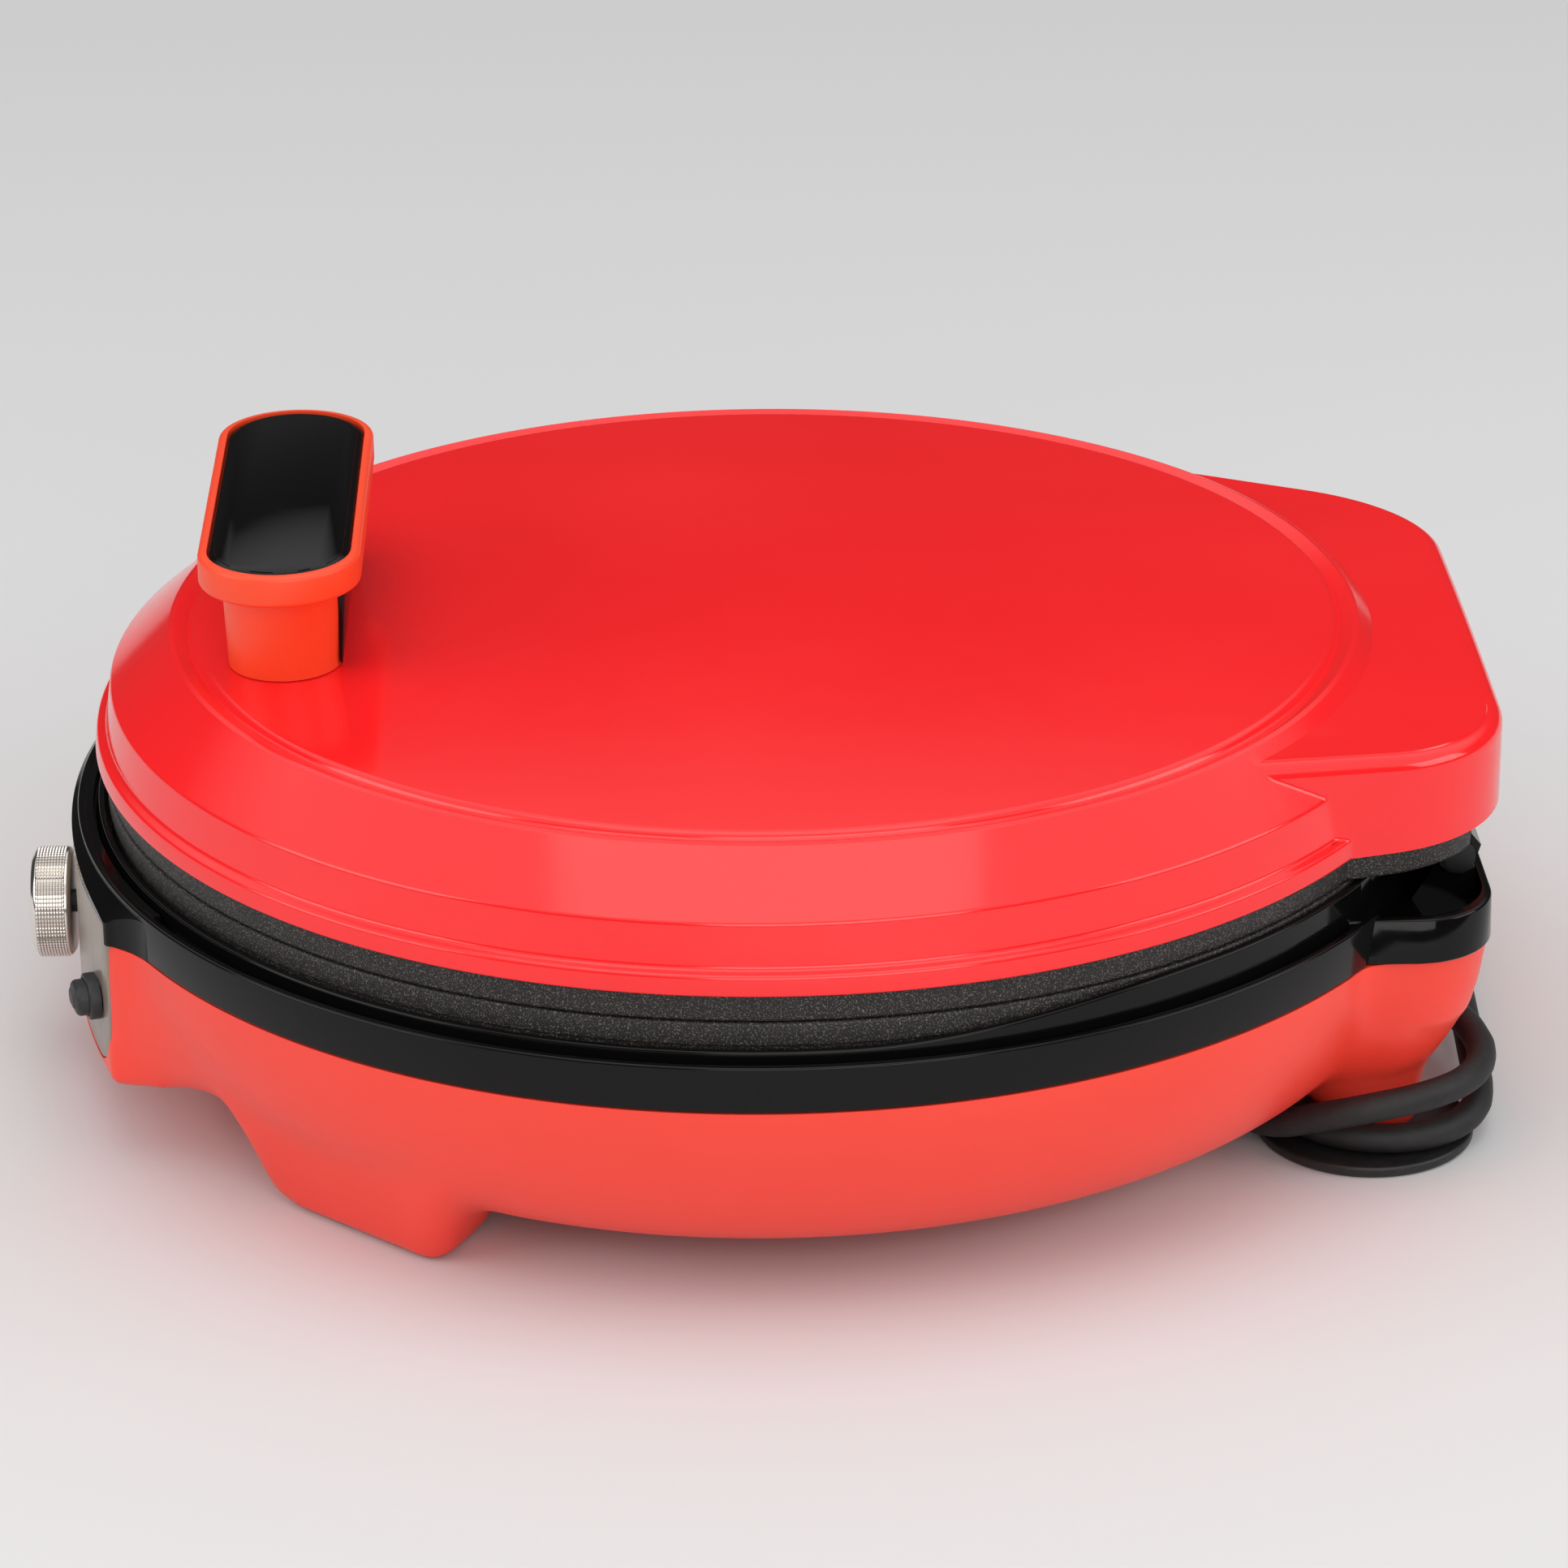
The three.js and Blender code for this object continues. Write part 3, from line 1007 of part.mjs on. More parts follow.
function buttonCap() {
  const cap = roundedRectangle(button.width - 2 * gap, button.height - 2 * gap, button.corner - gap);
  const by = gap + button.round;
  const crown = roundedRectangle(button.width - 2 * by, button.height - 2 * by, button.corner - by);
  const shell = lofted([
    atHeight(cap, gap), atHeight(cap, button.reach - button.round), atHeight(crown, button.reach),
  ]);
  return joined(shell, cylinder(button.stemRadius, -button.stemLength, 2 * gap, 0, 0));
}
piece('power_button', buttonCap(), rubber, buttonGroup);

function buttonBezel() {
  const outer = roundedRectangle(button.bezelWidth, button.bezelHeight, button.bezelCorner);
  const inner = roundedRectangle(button.width, button.height, button.corner);
  return cut(prism(outer, gap, button.bezelReach), prism(inner, -overrun, button.bezelReach + overrun));
}
piece('button_bezel', buttonBezel(), rubber, buttonGroup);

const switchFace = -button.stemLength + button.travel;
piece('power_switch', cut(
  solidOf(new THREE.BoxGeometry(switchBody.width, switchBody.height, switchBody.depth)
    .translate(0, 0, switchFace - switchBody.depth / 2)),
  cylinder(button.stemRadius + gap, switchFace - 3 * button.travel, switchFace + overrun, 0, 0),
), ceramic, buttonGroup);

// Terminal block on the bowl's floor
piece('terminal_block', joined(
  block(
    -terminals.width / 2, terminals.width / 2, terminals.y - terminals.depth / 2, terminals.y + terminals.depth / 2,
    bowl.bottomZ + wall + gap, bowl.bottomZ + wall + gap + terminals.height / 2,
  ),
  ...Array.from({ length: terminals.ways }, (_, i) => cylinder(
    terminals.depth / 3, bowl.bottomZ + wall + terminals.height / 3, bowl.bottomZ + wall + gap + terminals.height,
    (i - (terminals.ways - 1) / 2) * (terminals.width / terminals.ways), terminals.y,
  )),
), ceramic);

// Mains lead

const route = new THREE.CatmullRomCurve3(cordRoute.map((point) => new THREE.Vector3(...point)), false, 'centripetal');
route.arcLengthDivisions = 2000;
const cordLength = route.getLength();
const cordSteps = Math.round((cordLength / cord.diameter) * cord.stepsPerDiameter);
piece('power_cord', solidOf(tube(route, cord.diameter / 2, cord.sides, cordSteps)), rubber);

// Least gap of the lead to itself, between points that lie further apart along it than a loop's neck
function leastGap(curve, length, diameter) {
  const count = Math.round(length / (diameter / 3));
  const points = curve.getSpacedPoints(count);
  const apart = Math.round((6 * diameter) / (length / count));
  let least = Infinity;
  for (let i = 0; i < points.length; i += 1) {
    for (let j = i + apart; j < points.length; j += 1) least = Math.min(least, points[i].distanceTo(points[j]));
  }
  return least - diameter;
}
const cordGap = leastGap(route, cordLength, cord.diameter);
console.log(`lead ${cordLength.toFixed(0)} mm long, least gap to itself ${cordGap.toFixed(2)} mm`);

function strainRelief() {
  const tip = outlet.x + relief.length;
  const start = outlet.x + gap;
  const points = [[0, start], [relief.rootRadius, start], [relief.rootRadius, start + relief.collar]];
  const pitch = (relief.length - relief.collar - gap) / relief.ribs;
  for (let i = 0; i < relief.ribs; i += 1) {
    const along = outlet.x + gap + relief.collar + i * pitch;
    const radius = THREE.MathUtils.lerp(relief.rootRadius, relief.tipRadius, (i + 0.5) / relief.ribs) - gap;
    points.push([radius - 2 * gap, along + pitch * 0.2]);
    points.push([radius, along + pitch * 0.4], [radius, along + pitch * 0.9]);
  }
  points.push([relief.tipRadius - 2 * gap, tip - gap], [0, tip - gap]);
  const body = new THREE.LatheGeometry(points.map(([r, z]) => new THREE.Vector2(r, z)), 2 * cornerSteps);
  return solidOf(body.rotateZ(-Math.PI / 2).translate(0, outlet.y, outlet.z));
}
piece('strain_relief', strainRelief(), rubber);

// Three-pin plug, lying on its back with the pins up, its lead side towards +X
const plugBack = plug.z - plug.height / 2;
const plugFront = plug.z + plug.height / 2;
const plugEdgeX = plug.x - plug.nose;

function plugBody() {
  const middle = plugEdgeX - plug.length / 2;
  const outline = (by) => roundedRectangle(
    plug.length - 2 * by, plug.width - 2 * by, plug.corner - by,
  ).map(([x, y]) => [x + middle, y + plug.y]);
  const body = lofted([
    [plug.edge, plugBack], [0, plugBack + plug.edge], [0, plugFront - plug.edge], [plug.edge, plugFront],
  ].map(([by, z]) => atHeight(outline(by), z)));
  const nose = new THREE.CylinderGeometry(
    plug.noseRadius, plug.noseRadius * 1.25, plug.nose - gap + plug.edge, smallSteps,
  ).rotateZ(-Math.PI / 2).translate(plug.x - gap - (plug.nose - gap + plug.edge) / 2, plug.y, plug.z);
  const seats = pinPlaces.map(([x, y, width, thickness]) => block(
    x - width / 2 - gap, x + width / 2 + gap, y - thickness / 2 - gap, y + thickness / 2 + gap,
    plug.z, plugFront + overrun,
  ));
  return cut(joined(body, solidOf(nose)), ...seats);
}
const rowX = plugEdgeX - plug.rowFromNose;
const pinPlaces = [
  [rowX, plug.y - plug.pinGap / 2, plug.pinThickness, plug.pinWidth, plug.pinLength, 'plug_live_pin'],
  [rowX, plug.y + plug.pinGap / 2, plug.pinThickness, plug.pinWidth, plug.pinLength, 'plug_neutral_pin'],
  [rowX - plug.pinRow, plug.y, plug.earthWidth, plug.pinThickness, plug.earthLength, 'plug_earth_pin'],
];
piece('plug_body', plugBody(), rubber);
for (const [x, y, width, thickness, length, name] of pinPlaces) {
  piece(name, block(
    x - width / 2, x + width / 2, y - thickness / 2, y + thickness / 2, plug.z + gap, plugFront + length,
  ), brass);
}

// The middle of the object, from the knob's face to the rear of the lid, stands on the origin
const knobFaceY = panelY(knob.x) - knob.lift - knob.length;
maker.position.y = -(knobFaceY + housing.rearY + housing.bandDepth) / 2;

export default maker;
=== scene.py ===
"""Electric pizza maker, closed, on a pale floor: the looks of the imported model."""
import json
import math

import bmesh
import bpy
from mathutils import Matrix, Vector

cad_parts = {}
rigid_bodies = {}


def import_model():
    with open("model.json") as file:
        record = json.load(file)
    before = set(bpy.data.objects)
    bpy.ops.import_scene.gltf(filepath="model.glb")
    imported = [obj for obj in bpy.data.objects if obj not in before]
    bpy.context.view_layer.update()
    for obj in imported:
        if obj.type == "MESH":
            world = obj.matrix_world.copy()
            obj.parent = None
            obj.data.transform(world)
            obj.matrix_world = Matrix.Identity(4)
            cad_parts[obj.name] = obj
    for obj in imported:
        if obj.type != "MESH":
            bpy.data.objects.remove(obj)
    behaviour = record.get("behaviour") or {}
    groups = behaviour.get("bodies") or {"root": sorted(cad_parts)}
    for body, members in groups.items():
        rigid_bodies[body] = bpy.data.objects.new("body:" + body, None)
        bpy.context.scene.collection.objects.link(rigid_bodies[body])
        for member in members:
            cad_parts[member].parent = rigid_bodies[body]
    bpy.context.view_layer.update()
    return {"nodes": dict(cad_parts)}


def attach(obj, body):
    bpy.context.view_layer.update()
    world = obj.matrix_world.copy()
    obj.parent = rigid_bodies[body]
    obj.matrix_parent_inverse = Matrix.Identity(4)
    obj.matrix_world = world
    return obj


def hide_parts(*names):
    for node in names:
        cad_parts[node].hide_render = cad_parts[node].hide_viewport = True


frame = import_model()

# All shapes are drawn in millimetres about the axis of the round plates, with
# the floor at 0, and are put at their place in metres by settle().
MM = 0.001
MIDDLE = 3.4786

# Heights and radii that several pieces share
LID_TOP, LID_LOW, LIP_TOP, WALL_TOP = 118.0, 87.5, 92.8, 103.9
RING_LOW, RING_TOP, RING_RADIUS = 60.3, 71.9, 178.0
SEAM, HALF_SEAM, COATED_RADIUS = 79.85, 0.15, 170.0
BOWL_TOP, BOWL_LOW, BOWL_DEEP, BOWL_FLAT, BOWL_FLARE = 60.0, 11.5, 48.5, 140, 38
SHOULDER_FRONT, SHOULDER_REAR = 118.0, 178.4
# The lid's rear housing: centre and radius of its corners, and the taper of its sides
HOUSING_X, HOUSING_Y, HOUSING_CORNER, HOUSING_TAPER = 54.9, 140.1, 42.9, 15.6
# The control box: half its width, its front, the radius of the front's bulge, its underside
BOX_HALF, BOX_FRONT, BOX_BULGE, BOX_LOW, BOX_CORNER = 79.0, 179.3, 224.0, 21.0, 2.5
PANEL_HALF, PANEL_LOW, PANEL_HIGH = 77.5, 24.8, 65.2
KNOB_X, KNOB_Z, BUTTON_X = 8.0, 41.0, 66.0
KNOB_RADIUS, KNOB_STANDS_OFF = 14.3, 1.0
HANDLE_Y, HANDLE_TOP = -121.0, 151.0
HANDLE_BAR, HANDLE_RECESS, HANDLE_STEM = (125, 40.5), (120.4, 35.9), (102, 30.4)
POST_X, POST_Y, POST_RADIUS = 72.5, 150.4, 14
PLUG_X, PLUG_Y, PLUG_MIDDLE = -163, 152, 11.3


# Camera: where the photograph was taken from

def make_camera():
    data = bpy.data.cameras.new("photo_camera")
    data.sensor_width, data.lens = 36.0, 130.43
    data.clip_start, data.clip_end = 0.05, 20
    camera = bpy.data.objects.new("photo_camera", data)
    bpy.context.scene.collection.objects.link(camera)
    right = Vector((0.028724, 0.999572, -0.005496))
    up = Vector((-0.394154, 0.016379, 0.918899))
    back = Vector((0.918595, -0.024229, 0.394456))
    turn = Matrix((right, up, back)).transposed().to_4x4()
    place = Matrix.Translation(Vector((1362.0, MIDDLE - 30.91, LID_TOP + 534.13)) * MM)
    camera.matrix_world = place @ turn
    bpy.context.scene.camera = camera


make_camera()


# Modelling by hand: a pen that draws edges, and what is made from the edges

def pen(name, points):
    """A line of edges through the points, left in edit mode with all selected."""
    if bpy.context.object and bpy.context.object.mode != "OBJECT":
        bpy.ops.object.mode_set(mode="OBJECT")
    bpy.ops.object.select_all(action="DESELECT")
    bpy.ops.mesh.primitive_plane_add(size=1, location=(0, 0, 0))
    piece = bpy.context.object
    piece.name = name
    bpy.ops.object.mode_set(mode="EDIT")
    bpy.ops.mesh.select_mode(type="VERT")
    bpy.ops.mesh.select_all(action="SELECT")
    bpy.ops.mesh.merge(type="CENTER")
    bpy.ops.transform.translate(value=points[0])
    for last, point in zip(points, points[1:]):
        bpy.ops.mesh.extrude_region_move(
            TRANSFORM_OT_translate={"value": point - last})
    bpy.ops.mesh.select_all(action="SELECT")
    return piece


def tidied(piece, doubles=0.004):
    """Merges what meets, points the faces outwards and leaves edit mode."""
    if bpy.context.object.mode != "EDIT":
        bpy.ops.object.mode_set(mode="EDIT")
    bpy.ops.mesh.select_mode(type="VERT")
    bpy.ops.mesh.select_all(action="SELECT")
    bpy.ops.mesh.remove_doubles(threshold=doubles)
    bpy.ops.mesh.normals_make_consistent(inside=False)
    bpy.ops.object.mode_set(mode="OBJECT")
    return piece


def alone(piece):
    """Leaves edit mode with only this piece selected and active."""
    if bpy.context.object and bpy.context.object.mode != "OBJECT":
        bpy.ops.object.mode_set(mode="OBJECT")
    bpy.ops.object.select_all(action="DESELECT")
    piece.select_set(True)
    bpy.context.view_layer.objects.active = piece


def modified(piece, kind, **settings):
    """Adds one modifier and applies it."""
    alone(piece)
    modifier = piece.modifiers.new(kind.lower(), kind)
    for key, value in settings.items():
        setattr(modifier, key, value)
    bpy.ops.object.modifier_apply(modifier=modifier.name)
    return piece


def eased(points, steps=5):
    """Corners of (across, up, radius) points turned into small arcs."""
    flat = [Vector((p[0], p[1])) for p in points]
    drawn = []
    for i, point in enumerate(points):
        radius = point[2] if len(point) > 2 else 0
        if radius <= 0 or i in (0, len(points) - 1):
            drawn.append(flat[i])
            continue
        before = (flat[i - 1] - flat[i]).normalized()
        after = (flat[i + 1] - flat[i]).normalized()
        half = before.angle(after) / 2
        reach = radius / math.tan(half)
        centre = flat[i] + (before + after).normalized() * (radius / math.sin(half))
        first, last = flat[i] + before * reach - centre, flat[i] + after * reach - centre
        turn = first.angle_signed(last)
        for k in range(steps + 1):
            spoke = first.copy()
            spoke.rotate(Matrix.Rotation(-turn * k / steps, 2))
            drawn.append(centre + spoke)
    return drawn


def turned(name, profile, steps=192, ease=5):
    """A body of revolution about the plates' axis from (radius, height, corner radius)."""
    points = [Vector((p.x, 0, p.y)) for p in eased(profile, ease)]
    piece = pen(name, points)
    bpy.ops.object.mode_set(mode="OBJECT")
    modified(piece, "SCREW", steps=steps, render_steps=steps, use_merge_vertices=True,
             use_smooth_shade=False, merge_threshold=0.003)
    return tidied(piece)


def cylinder(name, radius, low, high, steps=288):
    return turned(name, [(0, low), (radius, low), (radius, high), (0, high)], steps)


def arc(cx, cy, radius, start, end, steps):
    """Points of an arc in the plan, angles in degrees."""
    angles = [math.radians(start + (end - start) * k / steps) for k in range(steps + 1)]
    return [Vector((cx + radius * math.cos(a), cy + radius * math.sin(a), 0)) for a in angles]


def rear_outline(half, rear, corner, front, steps=20):
    """A wide U whose two corners are at the rear."""
    x, y = half - corner, rear - corner
    return ([Vector((half, front, 0))] + arc(x, y, corner, 0, 90, steps)
            + arc(-x, y, corner, 90, 180, steps) + [Vector((-half, front, 0))])


def housing_outline(by, front, steps=22):
    """The lid's rear housing: its sides draw in towards wide corners."""
    r, taper = HOUSING_CORNER - by, math.radians(HOUSING_TAPER)
    half = (HOUSING_X + r * math.cos(taper)
            + math.tan(taper) * (HOUSING_Y + r * math.sin(taper) - front))
    return ([Vector((half, front, 0))] + arc(HOUSING_X, HOUSING_Y, r, HOUSING_TAPER, 90, steps)
            + arc(-HOUSING_X, HOUSING_Y, r, 90, 180 - HOUSING_TAPER, steps)
            + [Vector((-half, front, 0))])


def pill(length, width, steps=24):
    """A bar with half-round ends, in the plan."""
    r, x = width / 2, (length - width) / 2
    return arc(x, 0, r, -90, 90, steps) + arc(-x, 0, r, 90, 270, steps)


def rounded_rectangle(width, height, corner, steps=8):
    x, y = width / 2 - corner, height / 2 - corner
    return (arc(x, -y, corner, -90, 0, steps) + arc(x, y, corner, 0, 90, steps)
            + arc(-x, y, corner, 90, 180, steps) + arc(-x, -y, corner, 180, 270, steps))


def moved(outline, x, y):
    return [p + Vector((x, y, 0)) for p in outline]


def raised(name, outline, height, moves):
    """A face on the outline, taken up or down by (rise, inset) moves."""
    piece = pen(name, [p + Vector((0, 0, height)) for p in outline])
    bpy.ops.mesh.edge_face_add()
    for rise, inset in moves:
        if not inset:
            bpy.ops.mesh.extrude_region_move(TRANSFORM_OT_translate={"value": (0, 0, rise)})
            continue
        bpy.ops.mesh.inset(thickness=inset, depth=0, use_even_offset=True)
        if rise:
            bpy.ops.transform.translate(value=(0, 0, rise))
    return tidied(piece)


def stacked(name, rings):
    """A body through closed outlines of (height, points), each with as many points."""
    height, first = rings[0]
    piece = pen(name, [p + Vector((0, 0, height)) for p in first])
    bpy.ops.mesh.edge_face_add()
    for low, high in zip(rings, rings[1:]):
        bpy.ops.mesh.extrude_region_move(
            TRANSFORM_OT_translate={"value": (0, 0, high[0] - low[0])})
    bpy.ops.object.mode_set(mode="OBJECT")
    spot = {(round(p.x, 3), round(p.y, 3)): i for i, p in enumerate(first)}
    for vertex in piece.data.vertices:
        index = spot[(round(vertex.co.x, 3), round(vertex.co.y, 3))]
        outline = min(rings, key=lambda ring: abs(ring[0] - vertex.co.z))[1]
        vertex.co.xy = outline[index].xy
    return tidied(piece)


def drawn_in(name, outline, height, rings, centre):
    """A face on the outline, taken to each (height, scale across, scale along) in turn."""
    piece = pen(name, [p + Vector((0, 0, height)) for p in outline])
    bpy.ops.mesh.edge_face_add()
    last = (height, 1.0, 1.0)
    for ring in rings:
        bpy.ops.mesh.extrude_region_move(
            TRANSFORM_OT_translate={"value": (0, 0, ring[0] - last[0])})
        bpy.ops.transform.resize(value=(ring[1] / last[1], ring[2] / last[2], 1),
                                 center_override=centre)
        last = ring
    return tidied(piece)


def quarter(radius, steps=6, up=1):
    """(rise, inset) moves for a rounded edge of that radius."""
    moves, last = [], (0.0, 0.0)
    for k in range(1, steps + 1):
        a = math.pi / 2 * k / steps
        here = (radius * math.sin(a), radius * (1 - math.cos(a)))
        moves.append((up * (here[0] - last[0]), here[1] - last[1]))
        last = here
    return moves


def sliced(piece, places):
    """Cuts the faces at each place across, so that the piece can be bent."""
    alone(piece)
    bpy.ops.object.mode_set(mode="EDIT")
    for x in places:
        bpy.ops.mesh.select_all(action="SELECT")
        bpy.ops.mesh.bisect(plane_co=(x, 0, 0), plane_no=(1, 0, 0))
    bpy.ops.object.mode_set(mode="OBJECT")


def carved(piece, other, operation="DIFFERENCE"):
    """Cuts the other body out of the piece, or joins it, or keeps only what both share."""
    modified(piece, "BOOLEAN", object=other, operation=operation, solver="EXACT")
    bpy.data.objects.remove(other)
    return piece


def joined(piece, *others):
    for other in others:
        carved(piece, other, "UNION")
    return piece


def rounded_edges(piece, width, angle=38, segments=3):
    return modified(piece, "BEVEL", width=width, segments=segments, limit_method="ANGLE",
                    angle_limit=math.radians(angle), use_clamp_overlap=True, harden_normals=False)


def copied(piece, name):
    twin = piece.copy()
    twin.data = piece.data.copy()
    twin.name = name
    bpy.context.scene.collection.objects.link(twin)
    return twin


def settle(piece, body, finish, slot, *nodes, smooth=32, offset=(0, 0, 0)):
    """Puts a finished piece in its place in metres, on its body, with its finish."""
    alone(piece)
    place = Matrix.Diagonal((MM, MM, MM, 1))
    shift = Matrix.Translation(Vector(offset) * MM + Vector((0, MIDDLE * MM, 0)))
    piece.data.transform(shift @ place @ piece.matrix_world)
    piece.matrix_world = Matrix.Identity(4)
    bpy.ops.object.shade_smooth_by_angle(angle=math.radians(smooth))
    piece.data.materials.clear()
    piece.data.materials.append(finish)
    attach(piece, body)
    if nodes:
        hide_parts(*nodes)
    return piece


# Finishes: sums on sockets are written as in ordinary arithmetic

class Wire:
    """A value that runs through a finish."""

    def __init__(self, finish, socket):
        self.finish, self.socket = finish, socket

    def maths(self, operation, first, second=None):
        values = [first] if second is None else [first, second]
        return self.finish.node("ShaderNodeMath", {"operation": operation}, *values)

    def __add__(self, other):
        return self.maths("ADD", self, other)

    __radd__ = __add__

    def __rsub__(self, other):
        return self.maths("SUBTRACT", other, self)

    def __mul__(self, other):
        return self.maths("MULTIPLY", self, other)

    __rmul__ = __mul__

    def clipped(self):
        return self.maths("MINIMUM", self.maths("MAXIMUM", self, 0.0), 1.0)


class Finish:
    """A material that is built up from patterns on the piece's own coordinates."""

    def __init__(self, name, colour, roughness, metallic=0.0, **extra):
        self.material = bpy.data.materials.new(name)
        self.material.use_nodes = True
        self.tree = self.material.node_tree
        self.shader = self.tree.nodes["Principled BSDF"]
        self.put("Base Color", colour)
        self.put("Roughness", roughness)
        self.shader.inputs["Metallic"].default_value = metallic
        for key, value in extra.items():
            self.shader.inputs[key.replace("_", " ")].default_value = value
        coordinates = self.tree.nodes.new("ShaderNodeTexCoord")
        self.place = Wire(self, coordinates.outputs["Object"])

    def connect(self, socket, value):
        if isinstance(value, Wire):
            self.tree.links.new(value.socket, socket)
        elif isinstance(value, tuple) and len(value) == 3 and socket.type == "RGBA":
            socket.default_value = (*value, 1.0)
        else:
            socket.default_value = value

    def node(self, kind, settings=None, *values, output=0, **sockets):
        """Any node: its settings first, then its sockets, by order or by name."""
        made = self.tree.nodes.new(kind)
        for key, value in (settings or {}).items():
            setattr(made, key, value)
        for socket, value in zip(made.inputs, values):
            self.connect(socket, value)
        for key, value in sockets.items():
            self.connect(made.inputs[key], value)
        return Wire(self, made.outputs[output])

    def put(self, socket, value):
        self.connect(self.shader.inputs[socket], value)
        return self

    def grain(self, size, detail=2.0, rough=0.5):
        """Noise whose grains are that many millimetres across, from 0 to 1."""
        return self.node("ShaderNodeTexNoise", None, Vector=self.place, Scale=1 / (size * MM),
                         Detail=detail, Roughness=rough)

    def cells(self, size, **settings):
        """Distance from the middle of cells that are that many millimetres across."""
        return self.node("ShaderNodeTexVoronoi", settings, Vector=self.place,
                         Scale=1 / (size * MM))

    def blend(self, share, first, second):
        """The first colour where the share is 0, the second where it is 1."""
        mixed = self.node("ShaderNodeMix", {"data_type": "RGBA"}, output=2)
        factor, colour_a, colour_b = 0, 6, 7
        for index, value in ((factor, share), (colour_a, first), (colour_b, second)):
            self.connect(mixed.socket.node.inputs[index], value)
        return mixed

    def steps(self, value, low, high):
        """0 up to low, 1 from high on, and even in between."""
        return self.node("ShaderNodeMapRange", None, Value=value, **{
            "From Min": low, "From Max": high})

    def relief(self, height, depth, strength=1.0):
        """Raises the surface by up to depth millimetres."""
        self.put("Normal", self.node("ShaderNodeBump", None, Height=height,
                                     Distance=depth * MM, Strength=strength))
        return self


def linear(red, green, blue):
    """Colours as they look on a screen, 0 to 255, to the values that a shader takes."""
    def one(value):
        value /= 255
        return value / 12.92 if value <= 0.04045 else ((value + 0.055) / 1.055) ** 2.4
    return one(red), one(green), one(blue)


def red_gloss():
    """The lid's paint, with a faint orange peel."""
    made = Finish("lid_red_gloss", linear(250, 34, 38), 0.12, Specular_IOR_Level=0.6)
    tone = made.steps(made.grain(90, 1), 0.3, 0.7)
    made.put("Base Color", made.blend(tone, linear(249, 32, 36), linear(254, 38, 41)))
    made.put("Roughness", 0.09 + 0.07 * made.grain(14, 3))
    peel = made.grain(2.6, 1)
    made.relief(peel * 0.8 + made.grain(0.5, 1) * 0.12, 0.02, 0.5)
    return made.material


def red_satin(name, dark, light, roughness):
    """Moulded plastic with a fine grain."""
    made = Finish(name, light, roughness)
    tone = made.steps(made.grain(60, 2), 0.3, 0.7)
    made.put("Base Color", made.blend(tone, dark, light))
    made.put("Roughness", roughness - 0.04 + 0.09 * made.grain(9, 3))
    made.relief(made.grain(0.45, 2), 0.02, 0.5)
    return made.material


def black_gloss(name, shade, roughness):
    """Polished black plastic with faint smears."""
    made = Finish(name, shade, roughness, Specular_IOR_Level=0.22)
    smear = made.grain(22, 4, 0.6)
    made.put("Roughness", roughness + 0.10 * made.steps(smear, 0.45, 0.75))
    made.relief(made.grain(3.0, 1), 0.012, 0.4)
    return made.material


def coating():
    """The dark non-stick coating with its pale specks."""
    made = Finish("speckled_nonstick", linear(40, 36, 36), 0.48, Specular_IOR_Level=0.4)
    fine = made.steps(made.grain(0.4, 1, 0.5), 0.54, 0.70)
    coarse = made.steps(made.cells(1.2, feature="F1"), 0.32, 0.10)
    speck = (fine * 0.7 + fine * coarse * 0.6).clipped()
    made.put("Base Color", made.blend(speck, linear(28, 26, 26), linear(122, 115, 110)))
    made.put("Roughness", 0.50 - 0.14 * speck)
    made.relief(made.grain(0.6, 1), 0.03, 0.6)
    return made.material


def warm_grey():
    made = Finish("panel_warm_grey", linear(150, 137, 127), 0.3, 0.35)
    made.put("Roughness", 0.27 + 0.08 * made.grain(12, 3))
    made.put("Base Color", made.blend(
        made.grain(40, 1), linear(146, 133, 123), linear(156, 143, 133)))
    made.relief(made.grain(0.3, 1), 0.004, 0.4)
    return made.material


def metal(name, colour, roughness, wear=0.06):
    made = Finish(name, colour, roughness, 1.0)
    made.put("Roughness", roughness + wear * made.grain(6, 4, 0.6))
    made.put("Base Color", made.blend(
        made.grain(11, 3), tuple(c * 0.93 for c in colour), colour))
    made.relief(made.grain(0.35, 2), 0.003, 0.4)
    return made.material


def matt(name, dark, light, roughness, grain=0.5, depth=0.03):
    made = Finish(name, light, roughness)
    tone = made.steps(made.grain(grain * 8, 3), 0.3, 0.7)
    made.put("Base Color", made.blend(tone, dark, light))
    made.put("Roughness", roughness - 0.05 + 0.1 * made.grain(5, 3))
    made.relief(made.grain(grain, 3, 0.6), depth, 0.6)
    return made.material


LID_RED = red_gloss()
BASE_RED = red_satin("base_red_satin", linear(250, 64, 48), linear(254, 70, 53), 0.36)
HANDLE_RED = red_satin("handle_orange_red", linear(250, 72, 34), linear(255, 79, 40), 0.42)
BLACK = black_gloss("trim_black_gloss", linear(12, 11, 11), 0.08)
INSERT_BLACK = black_gloss("insert_black_gloss", linear(7, 7, 8), 0.04)
COATING = coating()
PANEL_GREY = warm_grey()
CHROME = metal("knob_chrome", linear(238, 232, 225), 0.12)
# Painted shade: the knurling's grooves get a darker, rougher metal than the chrome.
KNURL_GROOVE_SHADE = metal("knob_groove_painted_shade", linear(140, 134, 128), 0.35)
STEEL = metal("screw_steel", linear(190, 192, 194), 0.3)
SHEET = metal("bright_sheet", linear(205, 207, 208), 0.24, 0.12)
HEATER = metal("heater_sheath", linear(105, 96, 88), 0.5, 0.15)
